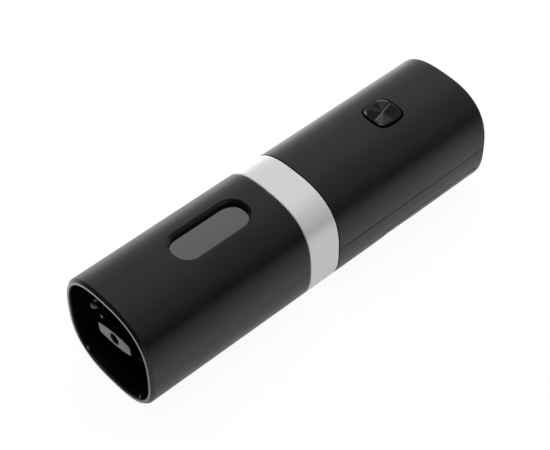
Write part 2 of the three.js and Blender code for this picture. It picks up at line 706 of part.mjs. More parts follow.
function makeCapacitor() {
  const { x, y, radius, height } = CAPACITOR;
  return uprightBar(radius, BOARD_FACE, BOARD_FACE + height, x, y, 16);
}

// Tray for the cells, open towards the door.
function makeTray() {
  const halfWidth = CELL_SPACING_Y + CELL.radius + 0.5;
  const outerHalf = halfWidth + BAY.wall;
  const top = UPPER_CELL_Z + CELL.radius + 0.5;
  const low = -15.5;
  const block = box(BAY.start, BAY.end, -outerHalf, outerHalf, low, top + BAY.wall);
  const inside = box(BAY.start + BAY.wall, BAY.end - BAY.wall, -halfWidth, halfWidth, low - 1, top);
  const rail = box(BAY.start + 6, BAY.end - 6, -0.35, 0.35, -4, top + 0.5);
  return join(cut(block, inside), rail);
}

// Cell, drawn from its flat end at x = 0 to its nub.
function makeCell() {
  const { radius, length, nubRadius, nubLength } = CELL;
  return turned([
    [0, 0], [0, radius - 0.6], [0.6, radius], [length - 0.8, radius], [length, radius - 0.8],
    [length, nubRadius], [length + nubLength, nubRadius - 0.2], [length + nubLength, 0],
  ], 16);
}

// Coil that presses on the flat end of a cell, starting on the contact plate at x = 0.
function contactCoil(direction, x, y, z) {
  const coil = new Helix({ start: x, end: x + direction * 3, radius: 3, turns: 2.5, y, z });
  return wire(coil, 0.35, 20, 5);
}

const CELL_NEAR = BAY.start + BAY.wall + 0.1;
const CELL_FAR = BAY.end - BAY.wall - 0.1;
const CONTACT = 0.5;

// A sheet-metal contact at the near or the far end of the bay, with a coil for each flat cell end.
function makeContact({ far, y, z, coils }) {
  const x0 = far ? CELL_FAR - CONTACT : CELL_NEAR;
  const plate = box(x0, x0 + CONTACT, y[0], y[1], z[0], z[1]);
  const direction = far ? -1 : 1;
  const face = far ? x0 + 0.2 : x0 + CONTACT - 0.2;
  return join(plate, ...coils.map(([cy, cz]) => contactCoil(direction, face, cy, cz)));
}

// Guide for the worm: a flat eyelet bar that meets the cork, on a carriage with two arms.
function makeEyelet() {
  const { start, thickness, halfSpan, halfEnd, corner, boss, bore } = EYELET;
  const shape = new THREE.Shape();
  shape.moveTo(-halfSpan + corner, -halfEnd - 0.1);
  shape.quadraticCurveTo(0, -2 * boss + halfEnd, halfSpan - corner, -halfEnd - 0.1);
  shape.lineTo(halfSpan, -halfEnd + corner);
  shape.lineTo(halfSpan, halfEnd - corner);
  shape.lineTo(halfSpan - corner, halfEnd + 0.1);
  shape.quadraticCurveTo(0, 2 * boss - halfEnd, -halfSpan + corner, halfEnd + 0.1);
  shape.lineTo(-halfSpan, halfEnd - corner);
  shape.lineTo(-halfSpan, -halfEnd + corner);
  shape.closePath();
  const flat = extruded(shape, start, start + thickness, { chamfer: 0.3 });
  const bar = solidOf(flat.applyMatrix4(ALONG_X));
  return cut(bar, roundBar(bore, start - 1, start + thickness + 1, 24)).rotate([GUIDE_TURN, 0, 0]);
}

function makeCarriage() {
  const { start, thickness, halfHeight, reach } = GUIDE_ARM;
  const { radius, bore, crossbar, margin, strut } = GUIDE_HUB;
  const hubStart = EYELET.start + EYELET.thickness + 0.1;
  const end = start + thickness;
  const half = EYELET.halfSpan - margin;
  const hub = roundBar(radius, hubStart, end, 24);
  const bar = box(hubStart, hubStart + crossbar, -half, half, -halfHeight, halfHeight);
  const arms = box(start, end, -reach, reach, -halfHeight, halfHeight);
  const struts = [-1, 1].map((side) => {
    const [y0, y1] = ordered(side * (half - strut), side * half);
    return box(hubStart, end, y0, y1, -2, 2);
  });
  const solid = cut(join(hub, bar, arms, ...struts), roundBar(bore, hubStart - 1, end + 1, 24));
  return solid.rotate([GUIDE_TURN, 0, 0]);
}

// Case screw with a pan head, driven from the back.
function makeCaseScrew() {
  const { headRadius, headHeight, shaftRadius, length } = SCREW;
  return turned([
    [0, 0], [0, headRadius - 0.5], [0.6, headRadius], [headHeight, headRadius],
    [headHeight, shaftRadius], [length, shaftRadius], [length + 1, 0],
  ], 12);
}

// Lead between the board and a motor tab.
function makeLead(side) {
  const end = MOTOR.start + MOTOR.length;
  const { y } = MOTOR_TAB;
  const route = new THREE.CatmullRomCurve3([
    new THREE.Vector3(end + 1.9, side * y, 1.3),
    new THREE.Vector3(end + 2, side * (y + 0.2), 6),
    new THREE.Vector3(end + 1.5, side * (y + 0.5), 10.6),
    new THREE.Vector3(end - 2, side * (y + 0.8), LEAD.z - 0.1),
    new THREE.Vector3(end - 5, side * (y + 0.8), LEAD.z),
  ]);
  return wire(route, LEAD.radius, 12, 6);
}

add('lower_sleeve', makeSleeve(), 'body');
add('window_pane', makePane(), 'smoke');
add('neck_liner', makeLiner(), 'glossBlack');
add('neck_lamp', makeLamp(), 'clear').position.set(LAMP.x, LAMP.y, LAMP.z);
[1, -1].forEach((side, i) => {
  add(`liner_screw_${i + 1}`, makeLinerScrew(), 'steel')
    .position.set(LINER_START - 0.1, side * LINER_SCREW.y, -side * LINER_SCREW.z);
});
add('steel_band', makeBand(), 'steel');
add('middle_frame', makeMiddleFrame(), 'tray');
add('worm_bush', makeBush(), 'brass');
add('ring_gear', ringGear(79.5, 98.3), 'darkSteel');
add('motor_plate', makeMotorPlate(), 'darkSteel');
add('motor_can', makeMotorCan(), 'steel');
add('motor_cap', makeMotorCap(), 'nylon');
add('motor_rotor', makeMotorRotor(), 'darkSteel');

for (let stage = 0; stage < STAGES; stage += 1) {
  add(`planet_carrier_${stage + 1}`, makeCarrier(stage), 'darkSteel');
  for (let i = 0; i < PLANETS; i += 1) {
    const angle = (i * 2 * Math.PI) / PLANETS;
    const orbit = SMALL_TEETH * MODULE;
    add(`planet_gear_${stage + 1}_${i + 1}`, makePlanet(), 'nylon')
      .position.set(FIRST_STAGE - stage * STAGE_PITCH, orbit * Math.cos(angle), orbit * Math.sin(angle));
  }
}

add('worm', makeWorm(), 'steel');
add('eyelet_bar', makeEyelet(), 'eyelet');
add('guide_carriage', makeCarriage(), 'glossBlack');

add('front_shell', makeFrontShell(), 'body');
add('back_shell', makeBackShell(), 'body');
add('battery_door', makeDoor(), 'body');
SCREW_PLACES.forEach(([x, y], i) => {
  const screw = add(`case_screw_${i + 1}`, makeCaseScrew(), 'darkSteel');
  screw.rotation.y = -Math.PI / 2;
  screw.position.set(x, y, SCREW.headZ);
});

add('button_cap', makeButtonCap(), 'steel');
add('button_plunger', makeButtonPlunger(), 'tray');
add('circuit_board', makeBoard(), 'board');
add('button_switch', makeSwitch(), 'tray');
add('driver_chip', makeDriverChip(), 'tray');
add('filter_capacitor', makeCapacitor(), 'darkSteel');
add('motor_lead_1', makeLead(1), 'glossBlack');
add('motor_lead_2', makeLead(-1), 'glossBlack');

add('battery_tray', makeTray(), 'tray');
const CELL_PLACES = [
  { y: CELL_SPACING_Y, z: UPPER_CELL_Z, nubFar: false },
  { y: -CELL_SPACING_Y, z: UPPER_CELL_Z, nubFar: true },
  { y: -CELL_SPACING_Y, z: LOWER_CELL_Z, nubFar: false },
  { y: CELL_SPACING_Y, z: LOWER_CELL_Z, nubFar: true },
];
CELL_PLACES.forEach(({ y, z, nubFar }, i) => {
  const cell = add(`battery_cell_${i + 1}`, makeCell(), 'cell');
  const tip = CONTACT + 0.2 + CELL.length + CELL.nubLength;
  cell.rotation.z = nubFar ? 0 : Math.PI;
  cell.position.set(nubFar ? CELL_FAR - tip : CELL_NEAR + tip, y, z);
});
const [CY, UZ, LZ] = [CELL_SPACING_Y, UPPER_CELL_Z, LOWER_CELL_Z];
const CONTACTS = {
  contact_positive: { far: false, y: [CY - 5, CY + 5], z: [UZ - 5, UZ + 5], coils: [] },
  contact_upper_bridge: { far: true, y: [-CY - 5, CY + 5], z: [UZ - 5, UZ + 5], coils: [[CY, UZ]] },
  contact_near_bridge: { far: false, y: [-CY - 5, -CY + 5], z: [LZ - 5, UZ + 5], coils: [[-CY, UZ]] },
  contact_lower_bridge: { far: true, y: [-CY - 5, CY + 5], z: [LZ - 5, LZ + 5], coils: [[-CY, LZ]] },
  contact_negative: { far: false, y: [CY - 5, CY + 5], z: [LZ - 5, LZ + 5], coils: [[CY, LZ]] },
};
for (const [name, contact] of Object.entries(CONTACTS)) {
  add(name, makeContact(contact), 'brass');
}

export default opener;
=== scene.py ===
"""Looks of a cordless electric wine opener that lies on its back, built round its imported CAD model.

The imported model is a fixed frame, and every piece takes its place from it. Shapes are worked out in
body coordinates, in millimetres: x runs along the axis from the mouth (0) to the far end, y is to
the side and z points from the axis to the button side. Body.place turns them into the frame's metres.
"""

import json
import logging
import math
from collections.abc import Callable, Sequence
from dataclasses import dataclass, field, replace
from enum import Enum
from functools import cache

import bmesh
import bpy
import numpy as np
from mathutils import Matrix, Vector


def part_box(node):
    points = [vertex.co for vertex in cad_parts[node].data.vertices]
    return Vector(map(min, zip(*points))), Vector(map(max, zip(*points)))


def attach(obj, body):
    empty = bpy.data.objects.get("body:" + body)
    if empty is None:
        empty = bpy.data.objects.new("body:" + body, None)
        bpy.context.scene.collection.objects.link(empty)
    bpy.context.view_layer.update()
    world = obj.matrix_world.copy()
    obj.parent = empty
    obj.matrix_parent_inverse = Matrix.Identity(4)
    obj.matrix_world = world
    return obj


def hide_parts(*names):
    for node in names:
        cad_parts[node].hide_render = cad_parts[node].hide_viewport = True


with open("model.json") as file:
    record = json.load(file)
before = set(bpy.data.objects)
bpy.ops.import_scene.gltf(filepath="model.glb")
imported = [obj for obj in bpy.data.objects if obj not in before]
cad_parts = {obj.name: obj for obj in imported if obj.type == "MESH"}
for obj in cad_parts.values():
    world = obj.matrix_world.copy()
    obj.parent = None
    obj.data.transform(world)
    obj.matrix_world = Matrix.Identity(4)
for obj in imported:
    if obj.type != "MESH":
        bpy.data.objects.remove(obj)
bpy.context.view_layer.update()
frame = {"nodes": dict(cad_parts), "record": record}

log = logging.getLogger("opener")

Array = np.ndarray
Colour = tuple[float, float, float]
MM = 0.001
MERGE = 2e-6
CREASE = math.radians(32)
RIGHT = math.pi / 2


# ---- The body's section --------------------------------------------------------------------------


@dataclass(frozen=True)
class Body:
    """The rounded-square body that every shell follows, as a superellipse about the axis."""

    length: float
    half: float
    squareness: float = 2.66
    wall: float = 2.4

    @property
    def inner(self) -> float:
        """Half width of the hollow inside the walls."""
        return self.half - self.wall

    def place(self, points: Array) -> Array:
        """Turns body coordinates into the frame's metres.

        Args:
            points: An array whose last axis is x, y, z in millimetres.

        Returns:
            The same points in metres, with the origin on the ground under the body's middle.
        """
        return (points + np.array([-self.length / 2, 0.0, self.half])) * MM

    def box(self, node: str) -> tuple[Array, Array]:
        """Gives a CAD node's corners in body coordinates.

        Args:
            node: The node's name.

        Returns:
            Its lowest and highest corner.
        """
        shift = np.array([self.length / 2, 0.0, -self.half])
        low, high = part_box(node)
        return np.array(low) / MM + shift, np.array(high) / MM + shift

    def radius(self, angle: Array, half: float | Array) -> Array:
        """Distance from the axis: half divided by the n-th root of |cos|^n + |sin|^n."""
        n = self.squareness
        return half * (np.abs(np.cos(angle)) ** n + np.abs(np.sin(angle)) ** n) ** (-1 / n)

    def height(self, y: Array, half: float) -> Array:
        """Height of the section over a sideways distance: half times the n-th root of 1 - |y/half|^n."""
        n = self.squareness
        return half * np.clip(1 - np.abs(y / half) ** n, 0, 1) ** (1 / n)

    def normal(self, angle: Array) -> Array:
        """Gives the section's outward normal, whose parts go as |cos|^(n-1) and |sin|^(n-1).

        Args:
            angle: Polar angles about the axis.

        Returns:
            Unit vectors (y, z), one for each angle.
        """
        cos, sin = np.cos(angle), np.sin(angle)
        power = self.squareness - 1
        vector = np.stack([np.sign(cos) * np.abs(cos) ** power, np.sign(sin) * np.abs(sin) ** power], -1)
        return vector / np.linalg.norm(vector, axis=-1, keepdims=True)


BODY = Body(
    length=(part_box("front_shell")[1].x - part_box("lower_sleeve")[0].x) / MM,
    half=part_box("steel_band")[1].y / MM)


# ---- Outlines in plan ----------------------------------------------------------------------------


@dataclass(frozen=True)
class RoundedRectangle:
    """A rectangle with round corners, centred on the origin."""

    half_x: float
    half_y: float
    corner: float

    def at(self, points: Array, inset: float) -> Array:
        """Gives the outline's point nearest to each point: the core's nearest point plus the corner radius.

        Args:
            points: Points (k, 2) outside the core rectangle.
            inset: How far inside the outline the result lies.

        Returns:
            Points (k, 2) on the inset outline.
        """
        core = np.array([self.half_x - self.corner, self.half_y - self.corner])
        nearest = np.clip(points, -core, core)
        away = points - nearest
        away = away / np.maximum(np.linalg.norm(away, axis=-1, keepdims=True), 1e-9)
        return nearest + away * (self.corner - inset)

    def spine(self, points: Array) -> Array:
        """The middle line that the outline closes on."""
        core = np.array([self.half_x - self.corner, 0.0])
        return np.clip(points, -core, core)


@dataclass(frozen=True)
class Squircle:
    """A superellipse centred on the origin. A squareness of 2 is a circle."""

    half_x: float
    half_y: float
    squareness: float = 2.0

    def at(self, points: Array, inset: float) -> Array:
        """Gives the outline's point on the ray through each point, by the superellipse's own equation.

        Args:
            points: Points (k, 2) other than the centre.
            inset: How far inside the outline the result lies.

        Returns:
            Points (k, 2) on the inset outline.
        """
        n = self.squareness
        size = np.array([self.half_x - inset, self.half_y - inset])
        return points * (np.sum(np.abs(points / size) ** n, axis=-1, keepdims=True)) ** (-1 / n)

    def spine(self, points: Array) -> Array:
        """The centre that the outline closes on."""
        return points * 0.0


Outline = RoundedRectangle | Squircle


def around(half_x: float, half_y: float, count: int) -> Array:
    """Points (count, 2) on an ellipse, spread by equal angle."""
    angle = np.linspace(0, 2 * math.pi, count, endpoint=False)
    return np.stack([half_x * np.cos(angle), half_y * np.sin(angle)], -1)


# ---- Profiles ------------------------------------------------------------------------------------


def rounded(corners: Sequence[tuple[float, float, float]], steps: int = 5, closed: bool = False) -> Array:
    """Rounds a polyline's corners, each by a parabola that starts and ends its size away from it.

    Args:
        corners: Tuples (x, height, size). The two ends of an open line keep their corner.
        steps: Spans along each parabola.
        closed: Whether the last corner joins the first.

    Returns:
        Points (k, 2) along the rounded line.
    """
    points = np.array([corner[:2] for corner in corners], float)
    made = []
    for i, (_, _, size) in enumerate(corners):
        last = i in (0, len(corners) - 1) and not closed
        if size <= 0 or last:
            made.append(points[i : i + 1])
            continue
        here, before, after = points[i], points[i - 1], points[(i + 1) % len(points)]
        start = here + (before - here) * size / np.linalg.norm(before - here)
        end = here + (after - here) * size / np.linalg.norm(after - here)
        t = np.linspace(0, 1, steps + 1)[:, None]
        made.append((1 - t) ** 2 * start + 2 * t * (1 - t) * here + t**2 * end)
    return np.concatenate(made)


def lines(start: float, end: float, step: float, stops: Sequence[float] = (), crowd: float = 0.0) -> Array:
    """Spreads grid lines evenly, with one on each stop and more of them close to it.

    Args:
        start: First line.
        end: Last line.
        step: Spacing aimed at.
        stops: Places that must have a line.
        crowd: Reach of the extra lines on both sides of a stop.

    Returns:
        The lines in order.
    """
    near = crowd * np.array([0.0, 0.08, 0.3, 0.62, 1.0])
    special = [stop + sign * d for stop in stops for sign in (-1, 1) for d in near]
    special = np.array(sorted({round(v, 6) for v in special if start < v < end}))
    base = np.linspace(start, end, max(2, round((end - start) / step) + 1))
    if special.size:
        clear = np.min(np.abs(base[1:-1, None] - special), axis=1) > 0.35 * step
        base = np.concatenate([base[:1], base[1:-1][clear], base[-1:]])
    return np.unique(np.concatenate([base, special]))


def divided(profile: Array, step: float, stops: Sequence[float] = (), crowd: float = 0.0) -> Array:
    """Puts more points on a profile's long spans, as lines does.

    Args:
        profile: Points (k, 2).
        step: Spacing aimed at.
        stops: Values of x that must have a point.
        crowd: Reach of the extra points round a stop.

    Returns:
        The denser profile.
    """
    made = [profile[:1]]
    for a, b in zip(profile[:-1], profile[1:]):
        length = float(np.linalg.norm(b - a))
        scale = length / (b[0] - a[0]) if abs(b[0] - a[0]) > 1e-9 else 0.0
        inside = [(stop - a[0]) * scale for stop in stops] if scale else []
        cuts = lines(0.0, length, step, inside, crowd) if length > step else np.array([0.0, length])
        made.append(a + (b - a) * cuts[1:, None] / length)
    return np.concatenate(made)


def profile_normals(profile: Array) -> Array:
    """Gives the normal of a profile: its direction turned a quarter towards larger heights.

    Args:
        profile: Points (k, 2) as x and height.

    Returns:
        Unit vectors (k, 2).
    """
    along = np.gradient(profile, axis=0)
    normal = np.stack([-along[:, 1], along[:, 0]], -1)
    return normal / np.maximum(np.linalg.norm(normal, axis=-1, keepdims=True), 1e-9)


def broken_edge(distance: Array, radius: float) -> Array:
    """Depth that rounds an edge: radius less the root of radius^2 - (radius - distance)^2."""
    left = np.clip(radius - distance, 0, radius)
    return radius - np.sqrt(np.maximum(radius**2 - left**2, 0))


# ---- Meshes --------------------------------------------------------------------------------------


class Net:
    """Collects grids of points in body coordinates and makes one closed mesh of them."""

    def __init__(self) -> None:
        """Starts with no points."""
        self._points: list[Array] = []
        self._faces: list[Array] = []
        self._marks: list[Array] = []
        self._count = 0

    def add_points(self, points: Array) -> Array:
        """Adds points (..., 3) and returns their numbers in the same layout.

        Args:
            points: The points.

        Returns:
            Their numbers.
        """
        index = self._count + np.arange(points[..., 0].size).reshape(points.shape[:-1])
        self._points.append(points.reshape(-1, 3))
        self._count += index.size
        return index

    def add_quads(self, quads: Array, mark: int | Array = 0) -> None:
        """Adds faces (k, 4), with the number of their finish."""
        self._faces.append(quads.reshape(-1, 4))
        self._marks.append(np.broadcast_to(mark, quads.shape[:-1]).reshape(-1))

    def grid(
        self, points: Array, *, close_rows: bool = False, close_columns: bool = False,
        keep: Array | None = None, mark: int | Array = 0,
    ) -> Array:
        """Adds a grid of points and the quads between them.

        Args:
            points: Points (m, n, 3).
            close_rows: Whether the last row joins the first.
            close_columns: Whether the last column joins the first.
            keep: Which cells get a face. All of them, when left out.
            mark: Number of the finish, for all faces or one for each row of cells.

        Returns:
            The points' numbers (m, n).
        """
        index = self.add_points(points)
        near = np.concatenate([index, index[:1]]) if close_rows else index
        near = np.concatenate([near, near[:, :1]], axis=1) if close_columns else near
        quads = np.stack([near[:-1, :-1], near[:-1, 1:], near[1:, 1:], near[1:, :-1]], -1)
        marks = np.broadcast_to(np.reshape(mark, (-1, 1)), quads.shape[:2])
        if keep is not None:
            quads, marks = quads[keep], marks[keep]
        self.add_quads(quads, marks)
        return index

    def tube(self, path: Array, radius: Array, reference: Array, sides: int, mark: int = 0) -> None:
        """Adds a round bar along a path, closed at both ends on the path itself.

        Each ring lies across the path: centre + radius (cos a u + sin a v), where u is the reference
        made square to the path and v is square to both.

        Args:
            path: Points (k, 3).
            radius: The bar's radius at each point.
            reference: Vectors (k, 3) that fix how the rings are turned.
            sides: Points round a ring.
            mark: Number of the finish.
        """
        along = np.gradient(path, axis=0)
        along /= np.linalg.norm(along, axis=-1, keepdims=True)
        u = reference - along * np.sum(reference * along, -1, keepdims=True)
        u /= np.linalg.norm(u, axis=-1, keepdims=True)
        v = np.cross(along, u)
        angle = np.linspace(0, 2 * math.pi, sides, endpoint=False)
        ring = np.cos(angle)[None, :, None] * u[:, None] + np.sin(angle)[None, :, None] * v[:, None]
        rings = path[:, None] + ring * np.reshape(radius, (-1, 1, 1))
        ends = [np.repeat(path[[i]][:, None], sides, axis=1) for i in (0, -1)]
        self.grid(np.concatenate([ends[0], rings, ends[1]]), close_columns=True, mark=mark)

    def turned(
        self, profile: Array, centre: tuple[float, float] = (0.0, 0.0), sides: int = 48,
        axis: int = 0, mark: int | Array = 0, start: float = 0.0,
    ) -> None:
        """Adds a body of revolution whose profile starts and ends on its axis or closes on itself.

        Args:
            profile: Points (k, 2) as distance along the axis and radius.
            centre: The axis's place in the two other coordinates, in the order y, z or x, y.
            sides: Points round the axis.
            axis: 0 for an axis along x, 2 for one along z.
            mark: Number of the finish, for all faces or one for each span of the profile.
            start: Angle of the first point.
        """
        angle = start + np.linspace(0, 2 * math.pi, sides, endpoint=False)
        along = np.repeat(profile[:, :1], sides, axis=1)
        first = centre[0] + profile[:, 1:] * np.cos(angle)
        second = centre[1] + profile[:, 1:] * np.sin(angle)
        order = [along, first, second] if axis == 0 else [first, second, along]
        self.grid(np.stack(order, -1), close_columns=True, mark=mark)

    def block(self, low: Sequence[float], high: Sequence[float], radius: float, mark: int = 0) -> None:
        """Adds a box with round edges: a ball's surface, pulled apart at its middle planes.

        Args:
            low: Lowest corner.
            high: Highest corner.
            radius: The edges' radius.
            mark: Number of the finish.
        """
        low, high = np.array(low, float), np.array(high, float)
        quarter = np.linspace(0, RIGHT, 5)
        angle = np.concatenate([quarter + k * RIGHT for k in range(4)])
        tilt = np.concatenate([quarter - RIGHT, quarter])
        turn = np.repeat(np.arange(4), quarter.size)
        ball = np.stack([
            np.cos(tilt)[:, None] * np.cos(angle), np.cos(tilt)[:, None] * np.sin(angle),
            np.sin(tilt)[:, None] * np.ones_like(angle)], -1)
        side = np.stack(np.broadcast_arrays(
            np.where(np.isin(turn, (0, 3)), 1.0, -1.0)[None], np.where(turn < 2, 1.0, -1.0)[None],
            np.where(np.arange(tilt.size) < quarter.size, -1.0, 1.0)[:, None]), -1)
        centre, core = (low + high) / 2, (high - low) / 2 - radius
        rings = centre + side * core + ball * radius
        caps = [np.broadcast_to(rings[i].mean(axis=0), rings[i].shape)[None] for i in (0, -1)]
        self.grid(np.concatenate([caps[0], rings, caps[1]]), close_columns=True, mark=mark)

    def mesh(self, name: str) -> bpy.types.Mesh:
        """Makes the mesh: doubles merged, faces turned outwards, smooth but for its creases.

        Args:
            name: The mesh's name.

        Returns:
            The mesh, in the frame's metres.
        """
        points = BODY.place(np.concatenate(self._points))
        faces = np.concatenate(self._faces)
        made = bpy.data.meshes.new(name)
        made.from_pydata(points, [], faces.tolist())
        made.polygons.foreach_set("material_index", np.concatenate(self._marks).astype(np.int32))
        work = bmesh.new()
        work.from_mesh(made)
        bmesh.ops.remove_doubles(work, verts=work.verts, dist=MERGE)
        bmesh.ops.dissolve_degenerate(work, edges=work.edges, dist=MERGE)
        loose = [vertex for vertex in work.verts if not vertex.link_faces]
        bmesh.ops.delete(work, geom=loose, context="VERTS")
        bmesh.ops.recalc_face_normals(work, faces=work.faces)
        open_edges = sum(not edge.is_manifold for edge in work.edges)
        if open_edges:
            log.warning("%s has %d open edges", name, open_edges)
        work.to_mesh(made)
        work.free()
        made.shade_smooth()
        made.set_sharp_from_angle(angle=CREASE)
        return made


# ---- Finishes ------------------------------------------------------------------------------------


class Graph:
    """A node tree under construction, with short calls for its nodes, links and sums."""

    def __init__(self, tree: bpy.types.NodeTree) -> None:
        """Clears the tree and keeps it."""
        self.tree = tree
        tree.nodes.clear()

    def add(
        self, kind: str, inputs: dict[str | int, object] | None = None, **settings: object,
    ) -> bpy.types.Node:
        """Adds a node.

        Args:
            kind: The node's type.
            inputs: A value or another node's output for each named or numbered input.
            settings: The node's own properties.

        Returns:
            The node.
        """
        node = self.tree.nodes.new(kind)
        for key, value in settings.items():
            setattr(node, key, value)
        for key, value in (inputs or {}).items():
            if isinstance(value, bpy.types.NodeSocket):
                self.tree.links.new(value, node.inputs[key])
            else:
                node.inputs[key].default_value = value
        return node

    def sum(self, operation: str, *terms: object, clamp: bool = False) -> bpy.types.NodeSocket:
        """Does one step of arithmetic on up to three terms and returns its output."""
        node = self.add("ShaderNodeMath", dict(enumerate(terms)), operation=operation, use_clamp=clamp)
        return node.outputs[0]

    def between(self, share: object, start: object, end: object) -> bpy.types.NodeSocket:
        """A value on the way from start to end: start + share (end - start)."""
        return self.sum("ADD", start, self.sum("MULTIPLY", share, self.sum("SUBTRACT", end, start)))

    def ramp(
        self, value: object, low: float, high: float, start: float = 0.0, end: float = 1.0,
    ) -> bpy.types.NodeSocket:
        """Carries a value from one range to another, smoothly and without overshoot."""
        node = self.add(
            "ShaderNodeMapRange", {0: value, 1: low, 2: high, 3: start, 4: end},
            interpolation_type="SMOOTHSTEP")
        return node.outputs[0]

    def blend(self, factor: object, first: object, second: object, mode: str = "MIX") -> bpy.types.NodeSocket:
        """Mixes two colours and returns the result."""
        node = self.add("ShaderNodeMix", {0: factor, 6: first, 7: second}, data_type="RGBA", blend_type=mode)
        return node.outputs[2]

    def group(self, tree: bpy.types.NodeTree, inputs: dict[str, object]) -> bpy.types.Node:
        """Places a shared node group with its own values."""
        return self.add("ShaderNodeGroup", inputs, node_tree=tree)

    def offset(self, where: object, origin: tuple[float, ...]) -> bpy.types.NodeSocket:
        """The vector from a fixed origin to a place."""
        return self.add("ShaderNodeVectorMath", {0: where, 1: origin}, operation="SUBTRACT").outputs[0]


def rgba(colour: Colour) -> tuple[float, float, float, float]:
    """A colour with full cover."""
    return (*colour, 1.0)


